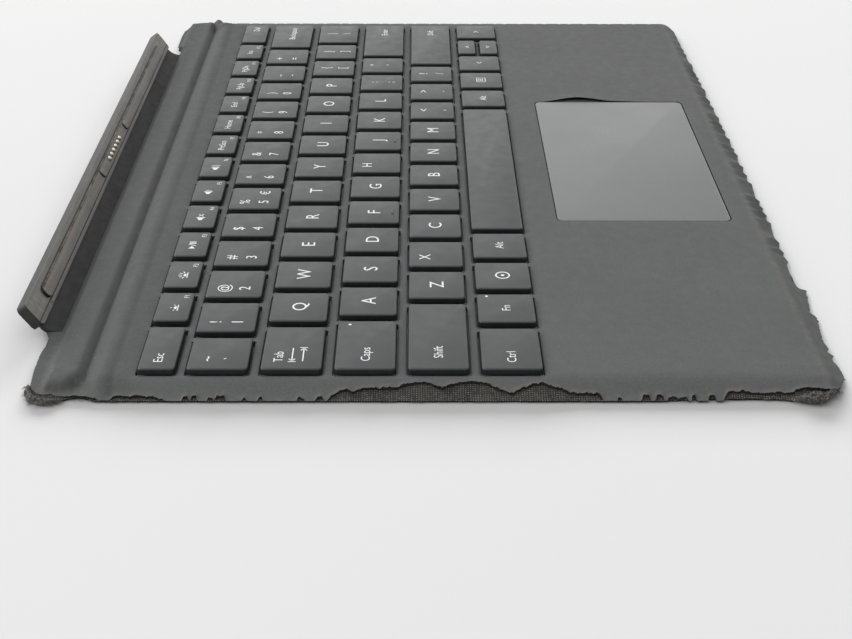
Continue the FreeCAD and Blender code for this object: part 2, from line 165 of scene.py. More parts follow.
# Hinge cloth and docking spine, which stands at a tilt behind the panel
spine_tilt = math.radians(55)
hinge_bend = 6.2
hinge_bite = 0.5
hinge_thickness = 0.8
hinge_lap = 0.4
hinge_tongue = 3.7
hinge_end_gap = 0.4
hinge_step = 0.3
hinge_columns = 200
spine_half = mm_box("spine_shell")[1].x
spine_width = 7.6
spine_half_thickness = 1.3
spine_back = 1.9
spine_corner = 1.5
spine_edge = 0.16
bar_half = mm_box("docking_bar")[1].x
bar_height = 0.9
strip_half = bar_half - 3.0
strip_middle = 3.7
strip_width = 3.9
strip_corner = 1.7
strip_edge = 0.3
ledge_foot = 0.25
ledge_gap = 0.35
ledge_height = 0.22
ledge_corner = 0.4
ledge_edge = 0.12
sunk = 0.1
lug_offset = 20.4
lug_height = 0.75
lug_half_length = 1.7
lug_half_width = 1.5
lug_corner = 1.2
lug_edge = 0.5
pin_count = 6
pin_pitch = 3.5
nose_radius = 0.72
nose_root = 0.6
nose_height = 0.7
nose_edge = 0.45
well_radius = 1.05
well_height = 0.012
well_edge = 0.01


def on_spine(x, u, v):
    """A point on the spine: u up its face from the hinge, v out of the face."""
    y = panel_back + hinge_bend * math.sin(spine_tilt)
    z = sheet_thickness + hinge_bend * (1 - math.cos(spine_tilt))
    return (x, y + u * math.cos(spine_tilt) - v * math.sin(spine_tilt),
            z + u * math.sin(spine_tilt) + v * math.cos(spine_tilt))


# Small helpers

def clamped(t):
    return min(max(t, 0.0), 1.0)


def smooth(t):
    t = clamped(t)
    return t * t * (3 - 2 * t)


def bell(t):
    return smooth(1 - abs(t))


def broken_line(points, value):
    """Height of a line through (place, height) points, which are in falling or rising order."""
    if points[0][0] > points[-1][0]:
        points = points[::-1]
    if value <= points[0][0]:
        return points[0][1]
    for (a, high_a), (b, high_b) in zip(points, points[1:]):
        if value <= b:
            return high_a + (high_b - high_a) * (value - a) / (b - a)
    return points[-1][1]


def rough(x, y, scale, seed):
    """Noise between about -1 and 1."""
    return noise.noise(Vector((x / scale, y / scale, seed)))


def rounded_loop(x0, x1, y0, y1, radius):
    """Points of a rounded rectangle, counter-clockwise."""
    points = []
    steps = 4
    corners = [(x1 - radius, y0 + radius, -90), (x1 - radius, y1 - radius, 0),
               (x0 + radius, y1 - radius, 90), (x0 + radius, y0 + radius, 180)]
    for cx, cy, start in corners:
        for n in range(steps + 1):
            a = math.radians(start + 90 * n / steps)
            points.append((cx + radius * math.cos(a), cy + radius * math.sin(a)))
    return points


def new_piece(name, shape, materials):
    """Mesh object from a shape: points in millimetres, faces, and material numbers or None."""
    points, faces, indices = shape
    mesh = bpy.data.meshes.new(name)
    mesh.from_pydata([Vector(p) * MM for p in points], [], faces)
    for material in materials:
        mesh.materials.append(material)
    if indices:
        mesh.polygons.foreach_set("material_index", indices)
    mesh.polygons.foreach_set("use_smooth", [True] * len(mesh.polygons))
    mesh.validate()
    mesh.set_sharp_from_angle(angle=smooth_angle)
    piece = bpy.data.objects.new(name, mesh)
    bpy.context.scene.collection.objects.link(piece)
    return piece


def ring_stack(rings):
    """Shape of a closed form through rings that have the same number of points, in one material."""
    count = len(rings[0])
    points = [p for ring in rings for p in ring]
    faces = []
    for level in range(len(rings) - 1):
        for i in range(count):
            j = (i + 1) % count
            a, b = level * count, (level + 1) * count
            faces.append((a + i, a + j, b + j, b + i))
    faces.append(tuple(reversed(range(count))))
    faces.append(tuple(range(len(points) - count, len(points))))
    return points, faces, [0] * len(faces)


# Modelling by hand: a block is added at its size, and its edges and faces are picked and shaped

def only(piece):
    bpy.ops.object.select_all(action="DESELECT")
    piece.select_set(True)
    bpy.context.view_layer.objects.active = piece


def pick(piece, kind, test):
    """In edit mode, selects the edges or faces that pass a test."""
    bpy.ops.mesh.select_mode(type=kind)
    bpy.ops.mesh.select_all(action="DESELECT")
    mesh = bmesh.from_edit_mesh(piece.data)
    for part in (mesh.edges if kind == "EDGE" else mesh.faces):
        if test(part):
            part.select_set(True)
    bmesh.update_edit_mesh(piece.data)


def upright(edge):
    a, b = edge.verts
    return abs(a.co.z - b.co.z) > 0.9 * edge.calc_length()


def settled(name):
    """The primitive just added, with its name, and its place and size settled in its mesh."""
    piece = bpy.context.object
    piece.name = name
    bpy.ops.object.transform_apply(location=True, rotation=True, scale=True)
    return piece


def round_top(piece, top, edge):
    """Rounds the top edge, in edit mode, and ends the modelling."""
    pick(piece, "EDGE", lambda side: all(v.co.z > top * MM - 1e-7 for v in side.verts))
    bpy.ops.mesh.bevel(offset=edge * MM, segments=4, affect="EDGES")
    bpy.ops.object.mode_set(mode="OBJECT")
    bpy.ops.object.shade_smooth_by_angle(angle=smooth_angle)
    return piece


def rounded_block(name, low, high, corner, edge, flare=0.0):
    """A moulded block with rounded corners, a rounded top edge and a foot that is wider by the flare."""
    low, high = Vector(low), Vector(high)
    size, middle = high - low, (low + high) / 2
    bpy.ops.object.select_all(action="DESELECT")
    bpy.ops.mesh.primitive_cube_add(size=1, location=middle * MM, scale=size * MM)
    piece = settled(name)
    bpy.ops.object.mode_set(mode="EDIT")
    pick(piece, "EDGE", upright)
    bpy.ops.mesh.bevel(offset=corner * MM, segments=6, affect="EDGES")
    if flare:
        pick(piece, "FACE", lambda face: face.normal.z < -0.9)
        wider = (1 + 2 * flare / size.x, 1 + 2 * flare / size.y, 1)
        bpy.ops.transform.resize(value=wider, center_override=middle * MM)
    return round_top(piece, high.z, edge)


def rounded_stud(name, radius, low, high, edge):
    """A round stud with a rounded top, standing on the origin's axis."""
    bpy.ops.object.select_all(action="DESELECT")
    bpy.ops.mesh.primitive_cylinder_add(vertices=20, radius=radius * MM, depth=(high - low) * MM,
                                        location=(0, 0, (low + high) / 2 * MM))
    piece = settled(name)
    bpy.ops.object.mode_set(mode="EDIT")
    return round_top(piece, high, edge)


def paint(piece, materials, level):
    """Gives the faces that look up more than the level the first material, and the others the last."""
    piece.data.materials.clear()
    for material in materials:
        piece.data.materials.append(material)
    for face in piece.data.polygons:
        face.material_index = 0 if face.normal.z > level else len(materials) - 1


def lifted(piece):
    """Shape of a modelled pattern, which is then taken away."""
    mesh = piece.data
    points = [tuple(v.co / MM) for v in mesh.vertices]
    faces = [tuple(p.vertices) for p in mesh.polygons]
    indices = [p.material_index for p in mesh.polygons]
    bpy.data.objects.remove(piece)
    bpy.data.meshes.remove(mesh)
    return points, faces, indices


def moved(shape, x, y):
    points, faces, indices = shape
    return [(px + x, py + y, pz) for px, py, pz in points], faces, indices


def add_shape(store, shape):
    points, faces, indices = shape
    start = len(store[0])
    store[0].extend(points)
    store[1].extend(tuple(start + i for i in face) for face in faces)
    store[2].extend(indices)


# Materials

class Shader:
    """Short calls for building a material's node tree."""

    def __init__(self, name):
        self.material = bpy.data.materials.new(name)
        self.material.use_nodes = True
        self.tree = self.material.node_tree
        self.surface = self.tree.nodes["Principled BSDF"]
        self.place = self.tree.nodes.new("ShaderNodeTexCoord").outputs["Object"]

    def link(self, output, target):
        self.tree.links.new(output, target)
        return self

    def set(self, **values):
        for name, value in values.items():
            self.surface.inputs[name.replace("_", " ")].default_value = value
        return self

    def noise(self, per_mm, detail=3.0, roughness=0.5, place=None):
        node = self.tree.nodes.new("ShaderNodeTexNoise")
        node.inputs["Scale"].default_value = per_mm / MM
        node.inputs["Detail"].default_value = detail
        node.inputs["Roughness"].default_value = roughness
        self.link(place or self.place, node.inputs["Vector"])
        return node.outputs["Fac"]

    def cells(self, per_mm):
        node = self.tree.nodes.new("ShaderNodeTexVoronoi")
        node.inputs["Scale"].default_value = per_mm / MM
        self.link(self.place, node.inputs["Vector"])
        return node.outputs["Distance"]

    def mapped(self, place, kind="POINT", **values):
        node = self.tree.nodes.new("ShaderNodeMapping")
        node.vector_type = kind
        for name, value in values.items():
            node.inputs[name].default_value = value
        self.link(place, node.inputs["Vector"])
        return node.outputs["Vector"]

    def ramp(self, value, *stops):
        node = self.tree.nodes.new("ShaderNodeValToRGB")
        ramp = node.color_ramp
        while len(ramp.elements) < len(stops):
            ramp.elements.new(0.5)
        for element, (place, colour) in zip(ramp.elements, stops):
            element.position = place
            element.color = (*colour, 1) if isinstance(colour, tuple) else (colour, colour, colour, 1)
        self.link(value, node.inputs["Fac"])
        return node.outputs["Color"]

    def math(self, operation, a, b=0.0):
        node = self.tree.nodes.new("ShaderNodeMath")
        node.operation = operation
        for socket, value in zip(node.inputs, (a, b)):
            if isinstance(value, (int, float)):
                socket.default_value = value
            else:
                self.link(value, socket)
        return node.outputs[0]

    def mix(self, amount, a, b, blend="MIX"):
        node = self.tree.nodes.new("ShaderNodeMix")
        node.data_type = "RGBA"
        node.blend_type = blend
        for name, value in (("Factor", amount), ("A", a), ("B", b)):
            socket = [s for s in node.inputs if s.name == name and s.enabled][0]
            if isinstance(value, (int, float)):
                socket.default_value = value if name == "Factor" else (value, value, value, 1)
            elif isinstance(value, tuple):
                socket.default_value = (*value, 1)
            else:
                self.link(value, socket)
        return [s for s in node.outputs if s.enabled][0]

    def attribute(self, name):
        node = self.tree.nodes.new("ShaderNodeAttribute")
        node.attribute_name = name
        return node.outputs["Fac"]

    def uv(self):
        node = self.tree.nodes.new("ShaderNodeUVMap")
        node.uv_map = "UVMap"
        return node.outputs["UV"]

    def split(self, vector):
        node = self.tree.nodes.new("ShaderNodeSeparateXYZ")
        self.link(vector, node.inputs[0])
        return node.outputs

    def colour(self, output):
        return self.link(output, self.surface.inputs["Base Color"])

    def roughness(self, output):
        return self.link(output, self.surface.inputs["Roughness"])

    def bump(self, height, depth_mm, strength=1.0):
        node = self.tree.nodes.new("ShaderNodeBump")
        node.inputs["Strength"].default_value = strength
        node.inputs["Distance"].default_value = depth_mm * MM
        self.link(height, node.inputs["Height"])
        return self.link(node.outputs["Normal"], self.surface.inputs["Normal"])


def film_material():
    """Matt laminate with a fine grain, faint mottling, lint, a little brown dirt where it is worn, and
    painted shade and highlight bands along Y from a point attribute.
    """
    s = Shader("skin_film")
    mottle = s.ramp(s.noise(0.03, 3), (0.35, (0.095, 0.096, 0.098)), (0.7, (0.103, 0.104, 0.106)))
    fleck = s.ramp(s.noise(1.6, 2), (0.3, 0.9), (0.7, 1.1))
    tone = s.mix(1.0, mottle, fleck, "MULTIPLY")
    # Painted shade and highlight: the tone is multiplied by a point attribute that darkens the panel towards
    # the hinge, the film behind the key rows and a strip by the fold, and lightens a line on the front ridge
    tone = s.mix(1.0, tone, s.attribute("painted_shading"), "MULTIPLY")
    worn = s.math("MULTIPLY", s.attribute("wear"), s.ramp(s.noise(0.7, 4), (0.45, 0.0), (0.62, 1.0)))
    tone = s.mix(worn, tone, (0.15, 0.138, 0.122))
    lint = s.math("MULTIPLY", s.ramp(s.cells(0.13), (0.014, 1.0), (0.03, 0.0)),
                  s.ramp(s.noise(0.02, 1), (0.42, 0.0), (0.56, 0.7)))
    s.colour(s.mix(lint, tone, (0.36, 0.35, 0.32)))
    s.roughness(s.ramp(s.noise(0.3, 3), (0.3, 0.6), (0.7, 0.72)))
    grain = s.mix(0.15, s.noise(3.6, 2), s.noise(0.5, 3))
    s.bump(grain, 0.05, 0.5)
    return s.set(Specular_IOR_Level=0.36).material


def cut_material():
    s = Shader("torn_edge")
    s.colour(s.ramp(s.noise(2.2, 3), (0.35, (0.012, 0.012, 0.012)), (0.75, (0.045, 0.043, 0.04))))
    s.bump(s.noise(4, 2), 0.1)
    return s.set(Roughness=0.95, Specular_IOR_Level=0.15).material


def weave_material():
    """Grey-brown plain weave, drawn in the cloth's own flat coordinates."""
    s = Shader("woven_backing")
    u, v, _ = s.split(s.uv())
    pitch = 0.62
    threads = [s.math("SINE", s.math("MULTIPLY", axis, 2 * math.pi / pitch)) for axis in (u, v)]
    ridges = [s.math("ADD", s.math("MULTIPLY", thread, 0.5), 0.5) for thread in threads]
    dots = s.math("MULTIPLY", *ridges)
    uneven = s.noise(0.9, 3)
    lit = s.math("MULTIPLY", s.ramp(dots, (0.3, 0.0), (0.85, 1.0)), s.ramp(uneven, (0.35, 0.1), (0.65, 1.0)))
    base = s.ramp(s.noise(0.25, 4), (0.3, (0.026, 0.025, 0.024)), (0.7, (0.058, 0.056, 0.052)))
    s.colour(s.mix(lit, base, (0.29, 0.275, 0.245)))
    s.bump(dots, 0.14, 0.9)
    return s.set(Roughness=0.92, Specular_IOR_Level=0.2).material


def fray_material():
    """Cloth that has gone to fluff: grey-brown, with near-black patches that paint the shade of its hollows.
    """
    s = Shader("frayed_cloth")
    # Painted shade: the near-black end of this ramp stands for the shade in the fluff's hollows
    speckle_and_hollow_shade = s.ramp(s.noise(1.5, 4, 0.7), (0.36, (0.012, 0.012, 0.011)), (0.5, (0.07, 0.067, 0.06)),
                     (0.72, (0.24, 0.225, 0.2)))
    s.colour(speckle_and_hollow_shade)
    s.bump(s.noise(2.2, 4, 0.7), 0.5)
    return s.set(Roughness=0.95, Specular_IOR_Level=0.1, Sheen_Weight=0.3, Sheen_Roughness=0.6).material


def hinge_material():
    s = Shader("hinge_cloth")
    mottle = s.ramp(s.noise(0.06, 4), (0.3, (0.026, 0.027, 0.027)), (0.7, (0.036, 0.036, 0.037)))
    lint = s.ramp(s.cells(0.16), (0.01, 1.0), (0.026, 0.0))
    # Painted shade and light: the cloth's tone is multiplied from 0.45 at the panel's back edge up to 1.6
    # towards the spine
    _, across, _ = s.split(s.place)
    away = s.math("DIVIDE", s.math("SUBTRACT", across, panel_back * MM), hinge_bend * MM)
    mottle = s.mix(1.0, mottle, s.ramp(away, (0.0, 0.45), (0.25, 0.7), (0.8, 1.6)), "MULTIPLY")
    s.colour(s.mix(s.math("MULTIPLY", lint, 0.5), mottle, (0.25, 0.2, 0.17)))
    s.roughness(s.ramp(s.noise(0.4, 3), (0.3, 0.62), (0.7, 0.78)))
    s.bump(s.noise(2.6, 3), 0.05, 0.6)
    return s.set(Specular_IOR_Level=0.3).material


def underside_material():
    """Soft napped cloth under the cover."""
    s = Shader("underside_cloth")
    s.colour(s.ramp(s.noise(0.05, 5), (0.3, (0.05, 0.05, 0.052)), (0.7, (0.075, 0.075, 0.077))))
    s.bump(s.mix(0.5, s.noise(2.4, 4), s.noise(0.5, 3)), 0.08, 0.7)
    return s.set(Roughness=0.9, Specular_IOR_Level=0.2, Sheen_Weight=0.25, Sheen_Roughness=0.5).material


def cap_material():
    s = Shader("keycap_top")
    tone = s.ramp(s.noise(0.05, 3), (0.35, (0.028, 0.03, 0.031)), (0.65, (0.034, 0.036, 0.037)))
    speck = s.ramp(s.cells(0.3), (0.014, 1.0), (0.034, 0.0))
    s.colour(s.mix(s.math("MULTIPLY", speck, 0.3), tone, (0.36, 0.36, 0.35)))
    s.roughness(s.ramp(s.noise(0.25, 3), (0.3, 0.36), (0.7, 0.46)))
    s.bump(s.noise(5.0, 2), 0.02, 0.5)
    return s.set(Specular_IOR_Level=0.62).material


def wall_material():
    s = Shader("keycap_wall")
    s.colour(s.ramp(s.noise(0.7, 3), (0.3, (0.0075, 0.0085, 0.009)), (0.75, (0.015, 0.016, 0.017))))
    s.roughness(s.ramp(s.noise(0.6, 2), (0.3, 0.4), (0.7, 0.6)))
    return s.set(Specular_IOR_Level=0.25).material


def legend_material():
    s = Shader("legend")
    s.colour(s.ramp(s.noise(1.5, 2), (0.3, (0.78, 0.79, 0.78)), (0.7, (0.9, 0.9, 0.89))))
    return s.set(Roughness=0.5).material


def touchpad_material():
    s = Shader("touchpad_face")
    s.colour(s.ramp(s.noise(0.02, 3), (0.35, (0.162, 0.163, 0.165)), (0.65, (0.17, 0.171, 0.173))))
    s.roughness(s.ramp(s.noise(0.06, 4), (0.3, 0.26), (0.7, 0.34)))
    s.bump(s.noise(6.0, 2), 0.01, 0.3)
    return s.set(Specular_IOR_Level=0.35).material


def spine_material():
    """Taupe moulding with a painted shadow along the top of its strip, patchy and brownish, with rust there
    towards its near end, painted shade in the gap below the strip, and scuffed ends.
    """
    s = Shader("spine_face")
    place = s.mapped(s.place, "TEXTURE", Location=Vector(on_spine(0, 0, 0)) * MM, Rotation=(spine_tilt, 0, 0))
    along, up, _ = s.split(place)
    tone = s.ramp(s.noise(0.1, 4), (0.3, (0.19, 0.179, 0.167)), (0.7, (0.228, 0.216, 0.201)))
    rubbed = s.noise(0.5, 2, 0.5, s.mapped(place, Scale=(0.12, 1.6, 1.6)))
    tone = s.mix(0.35, tone, s.ramp(rubbed, (0.35, (0.156, 0.146, 0.134)), (0.7, (0.294, 0.28, 0.26))))
    slanted = s.mapped(place, Rotation=(0, 0, math.radians(38)), Scale=(1.8, 0.3, 1.0))
    scratch = s.ramp(s.noise(0.75, 2, 0.5, slanted), (0.54, 0.0), (0.62, 1.0))
    far_out = s.math("ABSOLUTE", along)
    outward = s.math("DIVIDE", far_out, spine_half * MM)
    ends = s.ramp(outward, (0.87, 0.0), (0.9, 1.0), (0.97, 1.0), (0.985, 0.2))
    tone = s.mix(s.math("MULTIPLY", ends, s.math("MULTIPLY", scratch, 0.7)), tone, (0.3, 0.285, 0.26))
    level = s.math("DIVIDE", up, spine_width * MM)
    # Painted shadow of the raised strip: a dark band along its top edge, made patchy by a stain-like noise
    seam_shadow = s.ramp(level, (0.66, 0.0), (0.69, 1.0), (0.74, 1.0), (0.78, 0.0))
    on_bar = s.ramp(s.math("DIVIDE", far_out, bar_half * MM), (0.96, 1.0), (0.98, 0.0))
    seam_shadow = s.math("MULTIPLY", seam_shadow, on_bar)
    stain = s.ramp(s.noise(0.2, 4, 0.6), (0.38, 0.35), (0.62, 1.0))
    tone = s.mix(s.math("MULTIPLY", seam_shadow, stain), tone, (0.035, 0.029, 0.024))
    near = s.ramp(s.math("DIVIDE", along, -spine_half * MM), (0.25, 0.0), (0.6, 0.6), (0.86, 1.0), (0.9, 0.0))
    blotch = s.ramp(s.noise(0.3, 4), (0.5, 0.0), (0.58, 1.0))
    rust = s.math("MULTIPLY", s.math("MULTIPLY", seam_shadow, near), blotch)
    tone = s.mix(rust, tone, (0.21, 0.115, 0.048))
    # Painted shade: a dark band over the gap between the strip and the ledge below it
    groove = s.ramp(level, (0.165, 0.0), (0.18, 1.0), (0.215, 1.0), (0.23, 0.0))
    tone = s.mix(s.math("MULTIPLY", groove, 0.85), tone, (0.03, 0.028, 0.026))
    s.colour(tone)
    s.roughness(s.ramp(s.noise(0.5, 3), (0.3, 0.5), (0.7, 0.7)))
    s.bump(s.noise(1.6, 4), 0.04, 0.4)
    return s.set(Specular_IOR_Level=0.35).material


def plain_material(name, dark, light, roughness, metallic=0.0):
    """Moulded, printed or plated surface with a little variation in tone and a fine grain."""
    s = Shader(name)
    s.colour(s.ramp(s.noise(0.4, 4), (0.3, dark), (0.7, light)))
    s.bump(s.noise(4.0, 2), 0.02, 0.4)
    return s.set(Roughness=roughness, Metallic=metallic).material


FILM, CUT, WEAVE, HINGE = film_material(), cut_material(), weave_material(), hinge_material()
UNDERSIDE, CAP, WALL, LEGEND = underside_material(), cap_material(), wall_material(), legend_material()
TOUCHPAD, SPINE = touchpad_material(), spine_material()
BLACK = plain_material("black_moulding", (0.010, 0.010, 0.011), (0.022, 0.022, 0.023), 0.5)
PIN = plain_material("pin_plate", (0.82, 0.74, 0.58), (0.95, 0.9, 0.78), 0.3, 0.75)
FRAY = fray_material()
THREAD = plain_material("loose_fibre", (0.10, 0.095, 0.085), (0.34, 0.32, 0.28), 0.9)

# Looks by slot: dark and light tone, roughness and metallic.
# The ribbon is darker than the record's colour, because it lies bare at the spine's lower limit.
HIDDEN_LOOKS = {
    "frame": ((0.018, 0.018, 0.019), (0.035, 0.035, 0.036), 0.6, 0.0),
    "plate": ((0.5, 0.5, 0.51), (0.62, 0.62, 0.63), 0.4, 1.0),
    "light_guide": ((0.7, 0.72, 0.72), (0.8, 0.82, 0.82), 0.25, 0.0),
    "membrane": ((0.22, 0.24, 0.25), (0.3, 0.32, 0.33), 0.35, 0.0),
    "dome": ((0.48, 0.48, 0.48), (0.58, 0.58, 0.57), 0.6, 0.0),
    "link": ((0.66, 0.66, 0.65), (0.76, 0.76, 0.75), 0.5, 0.0),
    "circuit": ((0.01, 0.09, 0.04), (0.03, 0.15, 0.07), 0.4, 0.0),
    "chip": ((0.015, 0.015, 0.015), (0.03, 0.03, 0.03), 0.5, 0.0),
    "ribbon": ((0.024, 0.023, 0.022), (0.04, 0.039, 0.037), 0.5, 0.0),
    "steel": ((0.45, 0.45, 0.46), (0.6, 0.6, 0.61), 0.35, 1.0),
}


def dress_hidden_nodes():
    """Gives the CAD nodes that are covered by other pieces a material of their own."""
    for slot, (dark, light, roughness, metallic) in HIDDEN_LOOKS.items():
        material = plain_material("inner_" + slot, dark, light, roughness, metallic)
        for part in frame["record"]["subparts"]:
            if part["material_slot"] == slot:
                mesh = frame["nodes"][part["node"]].data
                mesh.materials.clear()
                mesh.materials.append(material)


# Keys: where each one is, and what is printed on it

def row_of_keys(node, count):
    """Top rectangles (x0, x1, y0, y1) of the keys in a node, worked out from its box."""
    low, high = mm_box(node)
    foot = (high.x - low.x - (count - 1) * cap_gap_at_foot) / count
    keys = []
    for n in range(count):
        x0 = low.x + n * (foot + cap_gap_at_foot) + cap_flare
        keys.append((x0, x0 + foot - 2 * cap_flare, low.y + cap_flare, high.y - cap_flare))
    return keys


def pairs(style, *texts):
    return [(style, text) for text in texts]


LEGENDS = {
    "escape_key": [("left_word", "Esc")],
    "function_keys_left": [("icon", "dim", "F1"), ("icon", "bright", "F2"), ("icon", "play", "F3"),
                           ("icon", "mute", "F4"), ("icon", "quiet", "F5"), ("icon", "loud", "F6")],
    "function_keys_right": [("tag", "PrtScn", "F7"), ("tag", "Home", "F8"), ("tag", "End", "F9"),
                            ("tag", "PgUp", "F10"), ("tag", "PgDn", "F11"), ("tag", "Ins", "F12")],
    "delete_key": [("right_word", "Del")],
    "number_keys_left": pairs("digit", "~`", "!1", "@2", "#3", "$4", "%5\u20ac"),
    "number_keys_right": pairs("digit", "^6", "&7", "*8", "(9", ")0", "_-", "+="),
    "backspace_key": [("right_word", "Backspace")],
    "tab_key": [("tab", "Tab")],
    "upper_keys_left": pairs("letter", *"QWERT"),
    "upper_keys_right": pairs("letter", *"YUIOP") + pairs("marks", "{[", "}]"),
    "backslash_key": [("marks", "|\\")],
    "caps_key": [("left_word", "Caps")],
    "home_keys_left": pairs("letter", *"ASD") + [("bumped", "F"), ("letter", "G")],
    "home_keys_right": [("small_letter", "H"), ("bumped", "J")] + pairs("letter", *"KL")
    + pairs("marks", ":;", "\"'"),
    "enter_key": [("right_word", "Enter")],
    "left_shift_key": [("left_word", "Shift")],
    "lower_keys_left": [("letter", "Z"), ("small_letter", "X")] + pairs("letter", *"CVB"),
    "lower_keys_right": pairs("letter", *"NM") + pairs("marks", "<,", ">.", "?/"),
    "right_shift_key": [("right_word", "Shift")],
    "control_key": [("left_word", "Ctrl")],
    "fn_key": [("word", "Fn")],
    "launcher_key": [("glyph", "ring")],
    "left_alt_key": [("word", "Alt")],
    "space_bar": [("plain", "")],
    "right_alt_key": [("word", "Alt")],
    "menu_key": [("glyph", "menu")],
    "left_arrow_key": [("glyph", "left")],
    "up_arrow_key": [("glyph", "up")],
    "down_arrow_key": [("glyph", "down")],
    "right_arrow_key": [("glyph", "right")],
}
lit_keys = {"caps_key": (0.92, 0.2), "fn_key": (0.92, 0.17)}

key_tops = {node: row_of_keys(node, len(legends)) for node, legends in LEGENDS.items()}
every_top = [top for tops in key_tops.values() for top in tops]
key_low, key_high = mm_box("space_bar")
key_base, key_top = key_low.z, key_high.z


text_shapes = {}


def text_mesh(text):
    """Flat faces of a line of text with its baseline at Y = 0, in units of the font."""
    if text not in text_shapes:
        bpy.ops.object.select_all(action="DESELECT")
        bpy.ops.object.text_add()
        writing = bpy.context.object
        writing.data.body = text
        writing.data.resolution_u = 3
        bpy.ops.object.convert(target="MESH")
        points, faces, _ = lifted(bpy.context.object)
        text_shapes[text] = [(x * MM, y * MM) for x, y, _ in points], faces
    return text_shapes[text]


capital = max(y for _, y in text_mesh("H")[0])


class Print:
    """Collects flat white shapes that lie on a key's top."""

    def __init__(self, top):
        self.x0, self.x1, self.y0, self.y1 = top
        self.points = []
        self.faces = []

    def at(self, across, down):
        """A place on the key: shares of its width from the left and of its depth from the hinge side."""
        return self.x0 + across * (self.x1 - self.x0), self.y1 - down * (self.y1 - self.y0)

    def shape(self, points, faces=None):
        start = len(self.points)
        self.points += points
        for face in faces or [tuple(range(len(points)))]:
            self.faces.append(tuple(start + i for i in face))

    def text(self, text, height, place, side="middle"):
        points, faces = text_mesh(text)
        scale = height / capital
        left, right = min(x for x, _ in points), max(x for x, _ in points)
        shift = {"left": left, "middle": (left + right) / 2, "right": right}[side]
        x, y = place
        self.shape([(x + (px - shift) * scale, y + py * scale - height / 2) for px, py in points], faces)

    def bar(self, a, b, width):
        (ax, ay), (bx, by) = a, b
        length = math.hypot(bx - ax, by - ay)
        nx, ny = (by - ay) / length * width / 2, -(bx - ax) / length * width / 2
        self.shape([(ax - nx, ay - ny), (ax + nx, ay + ny), (bx + nx, by + ny), (bx - nx, by - ny)])

    def line(self, place, offsets, width):
        x, y = place
        spots = [(x + dx, y + dy) for dx, dy in offsets]
        for a, b in zip(spots, spots[1:]):
            self.bar(a, b, width)

    def arc(self, place, radius, start, end, width, steps):
        turns = [math.radians(start + (end - start) * n / steps) for n in range(steps + 1)]
        self.line(place, [(radius * math.cos(a), radius * math.sin(a)) for a in turns], width)

    def disc(self, place, radius):
        x, y = place
        turns = [2 * math.pi * n / 20 for n in range(20)]
        self.shape([(x + radius * math.cos(a), y + radius * math.sin(a)) for a in turns])


def draw_speaker(sheet, place, waves):
    x, y = place
    sheet.shape([(x - 1.5, y - 0.45), (x - 0.9, y - 0.45), (x - 0.9, y + 0.45), (x - 1.5, y + 0.45)])
    sheet.shape([(x - 0.9, y - 0.45), (x - 0.1, y - 1.1), (x - 0.1, y + 1.1), (x - 0.9, y + 0.45)])
    for n in range(waves):
        sheet.arc((x - 0.4, y), 1.0 + 0.65 * n, -42, 42, 0.2, 6)


def draw_sun(sheet, place, rays, reach):
    x, y = place
    turns = [math.radians(180 * n / 10) for n in range(11)]
    sheet.shape([(x + 0.6 * math.cos(a), y - 0.6 + 0.6 * math.sin(a)) for a in turns])
    sheet.bar((x - 1.2, y - 0.85), (x + 1.2, y - 0.85), 0.22)
    for n in range(rays):
        a = math.radians(25 + 130 * n / (rays - 1))
        inner, outer = 0.95, 0.95 + reach
        sheet.bar((x + inner * math.cos(a), y - 0.6 + inner * math.sin(a)),
                  (x + outer * math.cos(a), y - 0.6 + outer * math.sin(a)), 0.24)


def draw_icon(sheet, icon, place):
    x, y = place
    start = len(sheet.points)
    if icon == "dim":
        draw_sun(sheet, place, 3, 0.35)
    elif icon == "bright":
        draw_sun(sheet, place, 5, 0.7)
    elif icon == "play":
        sheet.shape([(x - 1.7, y - 0.75), (x - 0.5, y), (x - 1.7, y + 0.75)])
        sheet.bar((x - 0.35, y - 0.85), (x + 0.25, y + 0.85), 0.2)
        sheet.bar((x + 0.75, y - 0.75), (x + 0.75, y + 0.75), 0.4)
        sheet.bar((x + 1.45, y - 0.75), (x + 1.45, y + 0.75), 0.4)
    elif icon == "mute":
        draw_speaker(sheet, place, 0)
        sheet.bar((x + 0.4, y - 0.55), (x + 1.5, y + 0.55), 0.22)
        sheet.bar((x + 0.4, y + 0.55), (x + 1.5, y - 0.55), 0.22)
    else:
        draw_speaker(sheet, place, 1 if icon == "quiet" else 2)
    larger = [(x + (px - x) * icon_scale, y + (py - y) * icon_scale) for px, py in sheet.points[start:]]
    sheet.points[start:] = larger


def draw_glyph(sheet, glyph):
    place = sheet.at(0.5, 0.5)
    x, y = place
    if glyph == "ring":
        sheet.arc(place, 1.9, 0, 360, 0.5, 32)
        sheet.disc(place, 0.55)
    elif glyph == "menu":
        sheet.line(place, [(-2.1, -1.6), (2.1, -1.6), (2.1, 1.6), (-2.1, 1.6), (-2.1, -1.75)], 0.3)
        for dy in (-0.6, 0.1, 0.8):
            sheet.bar((x - 1.3, y + dy), (x + 1.3, y + dy), 0.28)
    else:
        turn = {"right": 0, "up": 90, "left": 180, "down": 270}[glyph]
        tips = []
        for angle, reach in ((135, 1.35), (0, 0.45), (225, 1.35)):
            a = math.radians(turn + angle)
            tips.append((reach * math.cos(a), reach * math.sin(a)))
        sheet.line(place, tips, 0.34)


def draw_tab(sheet):
    sheet.text("Tab", word_height, sheet.at(0.16, 0.27), "left")
    for down, way in ((0.5, -1), (0.68, 1)):
        x, y = sheet.at(0.33, down)
        sheet.bar((x - 3.3, y), (x + 3.3, y), 0.32)
        sheet.bar((x + way * 3.5, y - 1.0), (x + way * 3.5, y + 1.0), 0.32)
        sheet.line((x + way * 3.1, y), [(-way * 1.0, 0.8), (0, 0), (-way * 1.0, -0.8)], 0.32)


